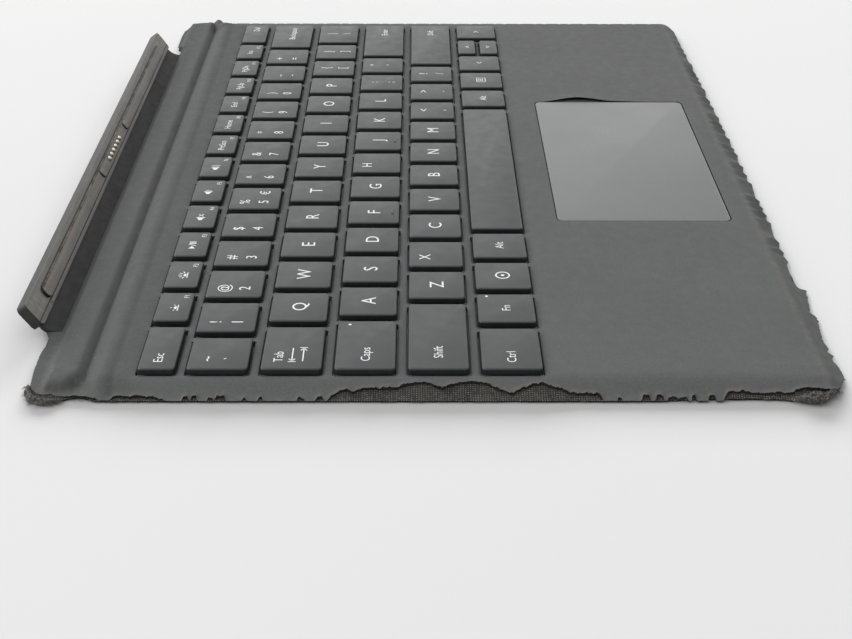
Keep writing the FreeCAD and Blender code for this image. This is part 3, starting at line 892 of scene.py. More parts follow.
# Height of a word by its style, its place as shares of the key's width and depth, and the side it lines up on
word_places = {
    "letter": (letter_height, 0.5, 0.5, "middle"),
    "bumped": (letter_height, 0.5, 0.5, "middle"),
    "small_letter": (shifted_letter_height, 0.37, 0.29, "middle"),
    "left_word": (word_height, 0.16, 0.5, "left"),
    "right_word": (word_height, 0.86, 0.5, "right"),
    "word": (word_height, 0.5, 0.5, "middle"),
    "tag": (tag_height, 0.42, 0.5, "middle"),
}
sign_places = {"digit": [(0.32, 0.3), (0.32, 0.68), (0.75, 0.68)], "marks": [(0.5, 0.3), (0.5, 0.7)]}


def print_key(legend, top):
    """The flat shapes printed on one key."""
    style, text = legend[:2]
    sheet = Print(top)
    if style in word_places:
        height, across, down, side = word_places[style]
        sheet.text(text, height, sheet.at(across, down), side)
    elif style in sign_places:
        for sign, place in zip(text, sign_places[style]):
            sheet.text(sign, pair_height, sheet.at(*place))
    elif style == "icon":
        draw_icon(sheet, text, sheet.at(0.45, 0.5))
    elif style == "glyph":
        draw_glyph(sheet, text)
    elif style == "tab":
        draw_tab(sheet)
    if len(legend) > 2:
        sheet.text(legend[2], small_height, sheet.at(0.9, 0.8), "right")
    return sheet


cap_patterns = {}


def cap_pattern(width, depth):
    """One cap about the origin, modelled once for each size."""
    size = (round(width, 2), round(depth, 2))
    if size not in cap_patterns:
        low, high = (-width / 2, -depth / 2, key_base), (width / 2, depth / 2, key_top)
        cap = rounded_block("cap", low, high, cap_corner, cap_edge, cap_flare)
        paint(cap, [CAP, WALL], 0.3)
        cap_patterns[size] = lifted(cap)
    return cap_patterns[size]


def bump_pattern():
    """The small ridge on a home key."""
    return lifted(rounded_block("bump", (-1.7, -0.4, key_top - 0.05), (1.7, 0.4, key_top + 0.2), 0.25, 0.12))


def make_keys():
    home_ridge = bump_pattern()
    for node, legends in LEGENDS.items():
        store = ([], [], [])
        for legend, top in zip(legends, key_tops[node]):
            x0, x1, y0, y1 = top
            add_shape(store, moved(cap_pattern(x1 - x0, y1 - y0), (x0 + x1) / 2, (y0 + y1) / 2))
            sheet = print_key(legend, top)
            if node in lit_keys:
                sheet.disc(sheet.at(*lit_keys[node]), lamp_radius)
            flat = [(x, y, key_top + legend_lift) for x, y in sheet.points]
            add_shape(store, (flat, sheet.faces, [2] * len(sheet.faces)))
            if legend[0] == "bumped":
                add_shape(store, moved(home_ridge, (x0 + x1) / 2, y0 + home_ridge_inset))
        piece = new_piece("cap_" + node, store, [CAP, WALL, LEGEND])
        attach(piece, node)
        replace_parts(piece, node)


# The top sheet: one formed film over deck, fold and panel, torn along its left edge and pleated in front

# Depth of the tear from the left edge, along Y
main_tear = [
    (104.0, 6.4), (101.4, 5.0), (99.3, 3.9), (97.6, 2.8), (94.6, 2.1), (91.7, 2.2), (88.6, 1.6),
    (85.5, 0.8), (83.2, 0.8), (82.2, 1.7), (80.6, 1.9), (78.8, 1.4), (76.0, 1.9), (73.6, 1.5),
    (70.6, 1.2), (68.6, 0.6), (29.0, 0.6), (27.0, 2.2), (25.6, 3.2), (24.1, 3.6), (22.5, 2.8),
    (21.1, 3.4), (18.1, 3.9), (13.5, 3.9), (10.5, 4.3), (7.5, 5.2), (4.5, 5.5), (1.4, 4.4), (-0.1, 3.9),
    (-1.6, 4.7), (-4.6, 5.2), (-7.7, 5.7), (-10.7, 5.2), (-13.7, 4.1), (-16.6, 2.7), (-18.1, 2.7),
    (-19.7, 3.6), (-22.8, 4.7), (-25.0, 5.2), (-27.3, 4.4), (-30.3, 3.6), (-31.7, 2.7), (-37.7, 2.4),
    (-39.7, 1.9), (-40.6, 0.6), (-70.5, 0.6), (-72.0, 2.8), (-75.6, 3.2), (-78.5, 2.4), (-84.6, 2.7),
    (-87.5, 2.4), (-89.2, 3.4), (-92.4, 4.0), (-95.4, 3.7), (-101.0, 3.4),
]
# Short nicks: place along Y, half width and depth
nicks = [
    (64.2, 0.9, 1.5), (62.0, 0.8, 1.8), (58.0, 0.7, 1.4), (55.5, 1.3, 1.7), (49.5, 0.6, 1.2),
    (45.4, 0.5, 1.4), (35.3, 1.1, 1.3), (30.6, 1.0, 1.4), (-44.6, 0.6, 1.3), (-51.2, 1.0, 1.9),
    (-54.7, 1.0, 2.0), (-58.0, 1.5, 1.3), (-60.6, 1.1, 1.4), (-63.2, 0.6, 1.8), (-67.8, 0.9, 1.9),
]
# How far the front edge stands out from the cover's straight front, along X
front_reach = [
    (-146.0, -3.0), (-141.0, -1.6), (-139.0, -0.5), (-134.5, 1.5), (-129.0, 1.2), (-126.5, 0.3),
    (-124.0, 1.2), (-122.3, -0.3), (-120.8, 0.9), (-117.0, 0.2), (-110.7, 0.9), (-103.6, 2.0),
    (-102.0, 1.6), (-100.2, 0.2), (-99.0, 1.0), (-87.0, 2.6), (-86.4, 0.4), (-83.0, -0.4), (-72.3, 0.3),
    (-70.0, 1.4), (-40.0, 2.0), (20.0, 1.9), (90.0, 1.3), (125.0, 0.2), (146.0, 0.0),
]
# How far the film's back edge stands out behind the panel, by the distance from the left and right ends
left_back_reach = [
    (0.0, -2.0), (2.0, -1.4), (4.0, 0.0), (6.0, 1.6), (8.0, 2.2), (14.0, 2.6), (22.0, 2.8), (26.0, 2.3),
    (30.0, 2.4), (32.0, 3.2), (33.2, 3.6), (33.6, -0.5), (150.0, -0.5),
]
right_back_reach = [
    (0.0, -1.5), (1.5, 0.6), (4.0, 2.1), (12.0, 1.9), (27.0, 1.6), (28.4, -0.5), (150.0, -0.5),
]
# Bulges of the loose film beside the touchpad: depth, place along Y and half width
loose_lip = [(2.9, -52.5, 14), (0.6, -64, 16)]
groove_end_lift = 0.55
right_groove_lift = 3.9
groove_end_reach = 5.5
groove_end_bite = 1.7
front_bite = 0.9
pleat_start = -70.0
pleat_pitch = 7.8
pleat_tooth = 1.9


def left_inset(y):
    inset = broken_line(main_tear, y)
    for place, half, depth in nicks:
        inset = max(inset, depth * smooth(1.6 * bell((y - place) / (1.6 * half))))
    ragged = 0.25 + 0.75 * smooth((inset - 0.7) / 0.6)
    return max(inset + ragged * (0.34 * rough(y, 0, 0.8, 3) + 0.3 * rough(y, 0, 2.1, 4)), 0.05)


def right_inset(y):
    return 0.3 + 0.35 * rough(y, 0, 5, 8) + 0.12 * rough(y, 0, 1.1, 9)


def pleat_phase(x):
    return (-x / pleat_pitch + 0.9 * rough(x, 0, 17, 5)) % 1.0


def pleat_depth(x):
    return smooth((x - pleat_start) / 6) * smooth((142 - x) / 50) * (0.85 + 0.5 * rough(x, 0, 14, 6))


def front_inset(x):
    tooth = pleat_tooth * pleat_phase(x) * pleat_depth(x)
    ragged = 0.16 + 0.42 * smooth((pleat_start - x) / 8)
    return tooth - broken_line(front_reach, x) + ragged * rough(x, 0, 0.9, 7)


def outline_points(radii, inset, step):
    """Closed outline of the cover, moved inwards by inset(x, y, nx, ny), where n points out of the cover."""
    front_left, front_right, back_right, back_left = radii
    corners = [(edge_x, front_y, front_right, -90), (edge_x, panel_back, back_right, 0),
               (-edge_x, panel_back, back_left, 90), (-edge_x, front_y, front_left, 180)]
    base = []
    for x, y, radius, start in corners:
        cx, cy = x - math.copysign(radius, x), y - math.copysign(radius, y)
        turns = max(int(radius * math.pi / 2 / step), 2)
        for n in range(turns + 1):
            a = math.radians(start + 90 * n / turns)
            base.append((cx + radius * math.cos(a), cy + radius * math.sin(a), math.cos(a), math.sin(a)))
    points = []
    for (ax, ay, anx, any_), (bx, by, _, _) in zip(base, base[1:] + base[:1]):
        length = math.hypot(bx - ax, by - ay)
        cuts = max(int(length / step), 1)
        for n in range(cuts):
            x, y = ax + (bx - ax) * n / cuts, ay + (by - ay) * n / cuts
            if cuts > 1:
                nx, ny = (by - ay) / length, -(bx - ax) / length
            else:
                nx, ny = anx, any_
            shift = inset(x, y, nx, ny)
            points.append((x - nx * shift, y - ny * shift))
    return points


def back_edge(x):
    """How far the back edge stands out behind the panel. The right end is the squarer one."""
    if x < 0:
        return broken_line(left_back_reach, edge_x + x)
    return broken_line(right_back_reach, edge_x - x)


def film_inset(x, y, nx, ny):
    side = left_inset(y) if nx < 0 else right_inset(y)
    end = front_inset(x) if ny < 0 else 0.08 * rough(x, 0, 1.3, 14) - back_edge(x)
    return nx * nx * side + ny * ny * end


def eased(distance, side):
    foot, rise = side
    return smooth((distance - foot) / rise)


def climbed(t):
    """Rise that is steep at its foot and rounds off at its top."""
    return 1 - (1 - clamped(t)) ** 2


def bevelled(distance, side):
    """Rise that is nearly straight, with soft ends."""
    foot, run = side
    t = clamped((distance - foot) / run)
    return 0.55 * t + 0.45 * smooth(t)


def deck_share(x, y):
    """How far the deck has risen from the edge: 0 to 1."""
    left, right, back = x + edge_x, edge_x - x, groove_line - y
    share = bevelled(left, deck_left) * eased(right, deck_right) * bevelled(y - front_y, deck_front)
    share *= climbed(back / deck_back_rise)
    return share * smooth((min(left, right) + back - deck_corner_cut) / 5)


def panel_share(x, y):
    """How far the fold panel has risen from the groove: 0 to 1."""
    end, front = edge_x - abs(x), y - groove_line
    foot, rise = panel_left_end if x < 0 else panel_right_end
    share = 1 - (1 - clamped((end - foot) / rise)) ** 3
    foot_shift = panel_end_shift * smooth((x - spine_half + 1) / 3)
    share *= climbed(front / panel_front_rise) * eased(panel_back - y + foot_shift, panel_back_side)
    return share * smooth((end - foot + 1.2 * front - 2.4) / 4.4)


def window_dips(x, y):
    """How far the film sinks towards the nearest key opening, deepest beside the long sides of the rows."""
    near, beside = 0.0, 0.0
    for (y0, y1), spans in window_rows.items():
        away = max(y0 - y, y - y1, 0)
        if away < row_dip_width:
            for x0, x1 in spans:
                aside = max(x0 - x, x - x1, 0)
                if aside < window_dip_width:
                    near = max(near, 1 - smooth(math.hypot(aside, away) / window_dip_width))
                    beside = max(beside, (1 - smooth(away / row_dip_width)) * (1 - smooth(aside / 1.6)))
    return window_dip * near + row_dip * beside


def top_height(x, y):
    """Height of the formed top before wear."""
    inner = smooth((edge_x - abs(x) - 4) / 10) * smooth((y - front_y - 4) / 9)
    floor = edge_level + groove_lift * inner
    deck, panel = deck_share(x, y), panel_share(x, y)
    height = floor + (deck_top - floor) * max(deck, panel)
    lip = deck_lip * deck * bell((y - groove_line + deck_back_rise) / 3.2)
    back_fall = panel_fall * panel * smooth((y - fold_end) / (panel_back - fold_end))
    return height + lip - back_fall - window_dips(x, y)


window_rows = {}
for x0, x1, y0, y1 in every_top:
    row = (y0 - window_reach, y1 + window_reach)
    window_rows.setdefault(row, []).append((x0 - window_reach, x1 + window_reach))


def torn_lift(x, y):
    """How far the ragged rim of the torn left edge stands up."""
    inset = left_inset(y)
    rim = smooth(1 - (x + edge_x - inset) / 1.3) * smooth((inset - 0.7) / 0.8)
    rim *= 1 - 0.75 * smooth((y - fold_start + 3) / 4)
    return rim * (0.42 + 0.55 * abs(rough(0, y, 0.9, 11)) + 0.35 * abs(rough(0, y, 2.7, 10)))


def pleat_rise(x, front):
    """How far the pleats lift or sink the film, at a distance from the cover's straight front."""
    slack = smooth(1 - (front - 0.6) / 4.2)
    phase = pleat_phase(x + 0.7 * front)
    return 1.5 * pleat_depth(x) * slack * (abs(2 * phase - 0.9) - 0.5)


def film_height(x, y):
    """Height of the worn film: pleats along the front, a raised torn rim, a loose lip and slight waves."""
    height = top_height(x, y)
    front = y - front_y
    height += pleat_rise(x, front)
    height += 0.16 * (1 - smooth(front / 9)) * rough(x, y, 3.5, 21)
    from_left = x + edge_x - left_inset(y)
    height += groove_end_lift * bell((y - groove_line) / groove_end_reach) * smooth(1 - from_left / 4)
    if x > pad_high.x:
        height += 0.22 * lens_gap(y) * smooth(1 - (x - pad_high.x - lens_gap(y)) / 6)
    bunched = bell((y - groove_line + 1.2) / 5.0) * smooth((x - edge_x + 9) / 8)
    height = max(height, 0.45) + torn_lift(x, y) + right_groove_lift * bunched
    return height + 0.04 * rough(x, y, 24, 12) + 0.008 * rough(x, y, 5, 13)


def lens_gap(y):
    """How far the film has come away from the far edge of the touchpad."""
    return sum(depth * bell((y - place) / half) for depth, place, half in loose_lip)


def window_loops():
    """Outlines of the openings in the film, and the loose points that round their rims."""
    loops, rims = [], []
    for x0, x1, y0, y1 in every_top:
        left, right, low, high = x0 - window_reach, x1 + window_reach, y0 - window_reach, y1 + window_reach
        loops.append(rounded_loop(left, right, low, high, window_corner))
        rims += rounded_loop(left - window_rim, right + window_rim, low - window_rim, high + window_rim,
                             window_corner + window_rim)
    x0, x1 = pad_low.x - touchpad_room, pad_high.x + touchpad_room
    y0, y1 = pad_low.y - touchpad_room, pad_high.y + touchpad_room
    pad = rounded_loop(x0, x1, y0, y1, touchpad_corner)
    far = [n for n, (x, _) in enumerate(pad) if x > x1 - 0.01]
    steps = 40
    low, high = pad[far[0]][1], pad[far[-1]][1]
    side = [(x1 + lens_gap(low + (high - low) * n / steps), low + (high - low) * n / steps)
            for n in range(1, steps)]
    loops.append(pad[:far[0] + 1] + side + pad[far[-1]:])
    return loops, rims


def in_window(x, y, room=0.0):
    reach = window_reach + room
    for x0, x1, y0, y1 in every_top:
        if x0 - reach < x < x1 + reach and y0 - reach < y < y1 + reach:
            return True
    gap = touchpad_room + room
    far = pad_high.x + gap + lens_gap(y)
    return pad_low.x - gap < x < far and pad_low.y - gap < y < pad_high.y + gap


def spaced(start, end, step):
    count = max(int((end - start) / step), 1)
    return [start + (end - start) * n / count for n in range(count + 1)]


def scattered_points():
    """Loose points: an even net, closer along the worn left and front edges, the right edge and the fold."""
    points = []
    for row, y in enumerate(spaced(front_y + 4, panel_back - 0.6, 2.1)):
        for x in spaced(-edge_x + 5 + (row % 2), edge_x - 2, 2.2):
            points.append((x, y))
    for row, x in enumerate(spaced(-edge_x + 0.3, -edge_x + 7, 0.6)):
        points += [(x, y + 0.3 * (row % 2)) for y in spaced(front_y + 1, panel_back - 0.6, 0.6)]
    for row, y in enumerate(spaced(front_y - 2, front_y + 7, 0.7)):
        points += [(x + 0.3 * (row % 2), y) for x in spaced(-edge_x + 7, edge_x - 1, 0.62)]
    for y in spaced(fold_start - 7, panel_back - 0.6, 0.7):
        points += [(x, y) for x in spaced(-edge_x + 7, edge_x - 2, 2.0)]
    for x in spaced(edge_x - 8, edge_x - 0.7, 0.8):
        points += [(x, y) for y in spaced(front_y + 7, panel_back - 0.6, 1.3)]
    for y in spaced(panel_back - 0.2, panel_back + 3, 0.6):
        for side in (-1, 1):
            points += [(side * (edge_x - end), y) for end in spaced(5, 33, 1.4)]
    kept = []
    for x, y in points:
        clear = panel_back - y > 0.35 - back_edge(x)
        clear = clear and x + edge_x > left_inset(y) + 0.3 and edge_x - x > right_inset(y) + 0.3
        clear = clear and y - front_y > front_inset(x) + 0.35
        if clear and not in_window(x, y, 0.6):
            kept.append((x, y))
    return kept


def triangulate(loops, points):
    """Flat triangles inside the outer loop and through every loop and loose point."""
    spots, edges = [], []
    for loop in loops:
        start = len(spots)
        spots += [Vector(p) for p in loop]
        edges += [(start + i, start + (i + 1) % len(loop)) for i in range(len(loop))]
    spots += [Vector(p) for p in points]
    flat, _, triangles, _, _, _ = delaunay_2d_cdt(spots, edges, [], 1, 1e-4)
    return [(p.x, p.y) for p in flat], triangles


def thicken(points, triangles, thickness):
    """Closes a sheet into a shape as thick as thickness(x, y) says.
    Material 0 is its top, 1 its underside and 2 its rim."""
    count = len(points)
    low = [(x, y, z - thickness(x, y)) for x, y, z in points]
    sides = {}
    for a, b, c in triangles:
        for edge in ((a, b), (b, c), (c, a)):
            if (edge[1], edge[0]) in sides:
                del sides[(edge[1], edge[0])]
            else:
                sides[edge] = True
    faces = [tuple(t) for t in triangles]
    faces += [(c + count, b + count, a + count) for a, b, c in triangles]
    faces += [(b, a, a + count, b + count) for a, b in sides]
    indices = [0] * len(triangles) + [1] * len(triangles) + [2] * len(sides)
    return points + low, faces, indices


def bend_at_fold(piece):
    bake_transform(piece)


def store_attribute(piece, name, values):
    attribute = piece.data.attributes.new(name, "FLOAT", "POINT")
    attribute.data.foreach_set("value", values)


def film_wear(x, y):
    """Where the film is rubbed and dirty: along its torn edge, the front ridge and the end of the panel."""
    torn = smooth(1 - (x + edge_x - left_inset(y)) / 2.5)
    ridge = 0.6 * bell((y - front_y - 4.6) / 1.6)
    tip = 0.55 * smooth(1 - math.hypot(x + 135, y - 99) / 5)
    rim = 0.5 * smooth(1 - (edge_x - x) / 5)
    return min(max(torn * 0.5, ridge, tip, rim), 1.0)


# Painted shade and highlight, as a factor on the film's tone along Y: darker at the front edge with a light
# line on its ridge, darker behind the key rows, a dark strip and a lighter band by the fold, and darker
# across the panel towards the hinge
painted_shading_by_y = [
    (-104.0, 0.9), (-99.4, 0.9), (-98.0, 1.14), (-96.6, 1.0), (77.0, 1.0), (80.0, 0.84), (82.6, 0.8),
    (83.8, 0.6), (85.2, 0.8), (87.3, 0.92), (89.3, 0.9), (91.3, 1.0), (93.0, 0.86), (97.0, 0.72),
    (102.5, 0.56), (106.0, 0.56),
]


def painted_film_shading(x, y):
    """Painted shade factor of the film along Y, evened out towards the left end of the panel."""
    tone = broken_line(painted_shading_by_y, y)
    if y > fold_end:
        tone += (max(tone, 0.84) - tone) * smooth((-x - 116) / 14)
    return tone


def make_top_sheet():
    outline = outline_points(film_corners, film_inset, film_edge_step)
    windows, rims = window_loops()
    flat, triangles = triangulate([outline] + windows, rims + scattered_points())
    kept = []
    for a, b, c in triangles:
        x = (flat[a][0] + flat[b][0] + flat[c][0]) / 3
        y = (flat[a][1] + flat[b][1] + flat[c][1]) / 3
        if not in_window(x, y):
            kept.append((a, b, c))
    rolled = {(round(x, 3), round(y, 3)) for loop in windows for x, y in loop}
    points = []
    for x, y in flat:
        drop = window_roll if (round(x, 3), round(y, 3)) in rolled else 0
        points.append((x, y, film_height(x, y) - drop))
    shape = thicken(points, kept, lambda x, y: film_thickness + torn_lift(x, y))
    sheet = new_piece("top_sheet", shape, [FILM, UNDERSIDE, CUT])
    store_attribute(sheet, "wear", [film_wear(x, y) for x, y, _ in shape[0]])
    # Painted shade and highlight, stored as a point attribute that the film's material multiplies its tone by
    store_attribute(sheet, "painted_shading", [painted_film_shading(x, y) for x, y, _ in shape[0]])
    openings = sum((x1 - x0) * (y1 - y0) for x0, x1, y0, y1 in every_top)
    openings += (pad_high.x - pad_low.x) * (pad_high.y - pad_low.y)
    bend_at_fold(sheet)
    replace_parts(sheet, "deck_skin", "fold_fabric", "panel_top_skin")


# Woven backing, which shows where the film is torn off the edge

def edge_bite(y):
    """How far the layers under the film draw in: at the end of the groove and towards the front."""
    front = smooth((-52 - y) / 14) * (1 - smooth((-82 - y) / 8))
    return groove_end_bite * bell((y - groove_line) / groove_end_reach) + front_bite * front


def make_backing():
    """Band of woven cloth under the film, from behind the panel round the left, the front and the right."""
    points, uv, faces = [], [], []
    depths = spaced(0, backing_reach, backing_step)
    path = edge_path(backing_step)
    for x, y, nx, ny, along in path:
        run, last = 0.0, None
        for n, depth in enumerate(depths):
            fray = 0.0
            if n < 2:
                fray = 0.3 * rough(along, 0, 0.8, 31) + 0.35 * rough(along, 0, 4, 32)
            bite = depth + fray + edge_bite(y) * max(-nx, 0)
            px, py = x - nx * bite, y - ny * bite
            z = top_height(px, py) + min(pleat_rise(px, py - front_y), 0) - film_thickness - layer_gap
            z += 0.12 * rough(px, py, 2.3, 33) * smooth(1 - depth / 5) + 0.03 * rough(px, py, 0.7, 34)
            z -= backing_sink * smooth((depth - 4) / 3) + backing_tuck * smooth((depth - 6.6) / 1.4)
            pz = max(z, sheet_thickness + backing_thickness + 0.02)
            if last:
                run += math.hypot(math.hypot(px - last[0], py - last[1]), pz - last[2])
            last = (px, py, pz)
            points.append(last)
            uv.append((along, run))
    rows = len(depths)
    for i in range(len(path) - 1):
        for j in range(rows - 1):
            a, b = i * rows + j, (i + 1) * rows + j
            faces.append((a, b, b + 1))
            faces.append((a, b + 1, a + 1))
    shape = thicken(points, faces, lambda x, y: backing_thickness)
    band = new_piece("backing_cloth", shape, [WEAVE, WEAVE, WEAVE])
    layer = band.data.uv_layers.new(name="UVMap")
    uv = uv + uv
    for loop in band.data.loops:
        layer.data[loop.index].uv = uv[loop.vertex_index]
    bend_at_fold(band)


def edge_path(step):
    """Points along the edge, from behind the panel's left end round the front to the fold on the right."""
    left, front = edge_x - 0.7, front_y - 0.2
    back = panel_back + 2.4
    back_round, near_round, far_round = 6.0, 13.0, 7.0
    back_run, turns = 26.0, 20
    corners = [(-left, back, back_round, 90), (-left, front, near_round, 180), (left, front, far_round, 270)]
    spots = [(x, back, 0.0, 1.0) for x in spaced(-left + back_round, -left + back_run, step)[::-1]]
    for x, y, radius, start in corners:
        cx, cy = x - math.copysign(radius, x), y - math.copysign(radius, y)
        for n in range(turns):
            a = math.radians(start + 90 * n / turns)
            spots.append((cx + radius * math.cos(a), cy + radius * math.sin(a), math.cos(a), math.sin(a)))
        if start == 90:
            side = spaced(front + near_round, back - back_round, step)[::-1]
            spots += [(-left, y, -1.0, 0.0) for y in side]
        elif start == 180:
            spots += [(x, front, 0.0, -1.0) for x in spaced(-left + near_round, left - far_round, step)]
    spots += [(left, y, 1.0, 0.0) for y in spaced(front + far_round, fold_start, step)]
    along, path = 0.0, []
    for n, (x, y, nx, ny) in enumerate(spots):
        if n:
            along += math.hypot(x - spots[n - 1][0], y - spots[n - 1][1])
        path.append((x, y, nx, ny, along))
    return path


# Bottom sheet

def bottom_inset(x, y, nx, ny):
    inset = (0.9 + edge_bite(y)) * max(-nx, 0) + 0.3 * max(nx, 0)
    if ny > 0:
        inset -= 0.9 * ny * back_edge(x)
    return inset + 0.2 * rough(x, y, 3, 41) + 0.1 * rough(x, y, 0.9, 42)


def make_bottom_sheet():
    outline = outline_points(bottom_corners, bottom_inset, bottom_edge_step)
    columns = spaced(-edge_x + 3, edge_x - 3, 4)
    net = [(x, y) for x in columns for y in spaced(front_y + 3, panel_back - 3, 4)]
    net += [(x, y) for x in columns for y in spaced(fold_start - 1, fold_end + 1, 0.5)]
    flat, triangles = triangulate([outline], net)
    points = [(x, y, sheet_thickness) for x, y in flat]
    shape = thicken(points, triangles, lambda x, y: sheet_thickness)
    sheet = new_piece("bottom_sheet", shape, [UNDERSIDE, UNDERSIDE, CUT])
    bend_at_fold(sheet)
    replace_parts(sheet, "bottom_skin", "panel_bottom_skin")


# Hinge cloth, docking spine and contacts

def on_hinge(x, run):
    """A point on the middle of the hinge cloth: run is the way from the panel's edge, along the bend."""
    if run < 0:
        return x, panel_back + run, sheet_thickness
    bend = hinge_bend * spine_tilt
    if run <= bend:
        turn = run / hinge_bend
        return (x, panel_back + hinge_bend * math.sin(turn),
                sheet_thickness + hinge_bend * (1 - math.cos(turn)))
    return on_spine(x, run - bend, 0)


def bend_at_hinge(piece):
    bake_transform(piece)


def make_hinge_cloth():
    """Cloth from the panel's back edge up to the spine, with a rounded bite at each end."""
    bend = hinge_bend * spine_tilt
    rows = spaced(-hinge_lap, bend + hinge_tongue, hinge_step)
    points = []
    for run in rows:
        bite = hinge_bite * smooth(1 - run / bend)
        half = spine_half - hinge_end_gap - bite
        for n in range(hinge_columns + 1):
            x = -half + 2 * half * n / hinge_columns
            px, py, pz = on_hinge(x, run)
            ripple = 0.07 * rough(px, run, 7, 51) * bell((run - bend / 2) / bend * 1.6)
            points.append((px, py + 0.5 * ripple, pz + ripple))
    faces = []
    for i in range(len(rows) - 1):
        for j in range(hinge_columns):
            a, b = i * (hinge_columns + 1) + j, (i + 1) * (hinge_columns + 1) + j
            faces.append((a, a + 1, b + 1, b))
    cloth = new_piece("hinge_cloth", (points, faces, None), [HINGE, HINGE])
    solid = cloth.modifiers.new("thickness", "SOLIDIFY")
    solid.thickness = hinge_thickness * MM
    solid.offset = 0.0
    only(cloth)
    bpy.ops.object.modifier_apply(modifier="thickness")
    bend_at_hinge(cloth)
    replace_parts(cloth, "hinge_fabric")


def set_on_spine(piece):
    """Moves a piece modelled flat, with X along the spine and Z out of its face, to its place."""
    place = Matrix.Translation(Vector(on_spine(0, 0, 0)) * MM) @ Matrix.Rotation(spine_tilt, 4, "X")
    piece.data.transform(place)
    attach(piece, "docking_spine")
    return piece


def make_spine():
    face = spine_half_thickness
    shell = rounded_block("spine_body", (-spine_half, 0, -spine_back), (spine_half, spine_width, face),
                          spine_corner, spine_edge)
    paint(shell, [SPINE, BLACK], 0.3)
    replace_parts(set_on_spine(shell), "spine_shell")
    low, high = strip_middle - strip_width / 2, strip_middle + strip_width / 2
    base = face - sunk
    strip = rounded_block("docking_strip", (-strip_half, low, base), (strip_half, high, face + bar_height),
                          strip_corner, strip_edge)
    paint(strip, [SPINE, BLACK], 0.15)
    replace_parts(set_on_spine(strip), "docking_bar")
    ledge = rounded_block("spine_ledge", (-strip_half, ledge_foot, base),
                          (strip_half, low - ledge_gap, face + ledge_height), ledge_corner, ledge_edge)
    paint(ledge, [SPINE], 0)
    set_on_spine(ledge)


def make_lugs():
    """Two low guide lugs, one on each side of the contacts, with their sides given the black moulding as
    painted shade.
    """
    base = spine_half_thickness + bar_height
    low = (-lug_half_length, strip_middle - lug_half_width, base - sunk)
    high = (lug_half_length, strip_middle + lug_half_width, base + lug_height)
    lug = rounded_block("lug", low, high, lug_corner, lug_edge)
    # Painted shade: every side of the lugs gets the black moulding, standing for their shaded sides
    paint(lug, [SPINE, BLACK], 0.35)
    pattern = lifted(lug)
    store = ([], [], [])
    for side in (-1, 1):
        add_shape(store, moved(pattern, side * lug_offset, 0))
    lugs = set_on_spine(new_piece("guide_lugs", store, [SPINE, BLACK]))
    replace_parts(lugs, "alignment_lugs")


def make_pins():
    """Six sprung contacts with round noses, each ringed by a thin black disc that paints the shade of its
    well.
    """
    base = spine_half_thickness + bar_height
    nose = lifted(rounded_stud("nose", nose_radius, base - nose_root, base + nose_height, nose_edge))
    # Painted shade: the wells are not sunk; a thin black disc round each nose stands for the shade inside it
    well = lifted(rounded_stud("well", well_radius, base - sunk, base + well_height, well_edge))
    pins, well_shades = ([], [], []), ([], [], [])
    for n in range(pin_count):
        x = (n - (pin_count - 1) / 2) * pin_pitch
        add_shape(pins, moved(nose, x, strip_middle))
        add_shape(well_shades, moved(well, x, strip_middle))
    well_shade_piece = set_on_spine(new_piece("pin_well_shades", well_shades, [BLACK]))
    pin_piece = set_on_spine(new_piece("pin_noses", pins, [PIN]))
    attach(pin_piece, "contact_pins")
    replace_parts(pin_piece, "contact_pins")


# Hidden parts: mouldings cut back under the film, domes and links under pressed caps, ribbons cut across

def cut_copy(node, name, cuts, remove=True):
    """Copy of a CAD node, cut along planes, each a spot in millimetres and a normal.
    Remove takes away what lies outside them."""
    source = frame["nodes"][node]
    piece = bpy.data.objects.new(name, source.data.copy())
    bpy.context.scene.collection.objects.link(piece)
    piece.data.transform(source.matrix_world)
    only(piece)
    bpy.ops.object.mode_set(mode="EDIT")
    bpy.ops.mesh.select_all(action="SELECT")
    bpy.ops.mesh.remove_doubles(threshold=1e-6)
    for spot, normal in cuts:
        bpy.ops.mesh.select_all(action="SELECT")
        bpy.ops.mesh.bisect(plane_co=Vector(spot) * MM, plane_no=normal, use_fill=remove, clear_outer=remove)
    bpy.ops.object.mode_set(mode="OBJECT")
    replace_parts(piece, node)
    return piece


def trimmed_copy(node, name, body, cuts):
    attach(cut_copy(node, name, cuts), body)


def ribbon_copy(node, name):
    """Copy of a ribbon with enough cuts across it to bend."""
    low, high = mm_box(node)
    cuts = [((0, y, 0), (0, 1, 0)) for y in spaced(low.y, high.y, ribbon_step)[1:-1]]
    return cut_copy(node, name, cuts, remove=False)


def bend_ribbons():
    bend_at_fold(ribbon_copy("fold_ribbon", "fold_lead"))
    bend_at_hinge(ribbon_copy("hinge_ribbon", "hinge_lead"))


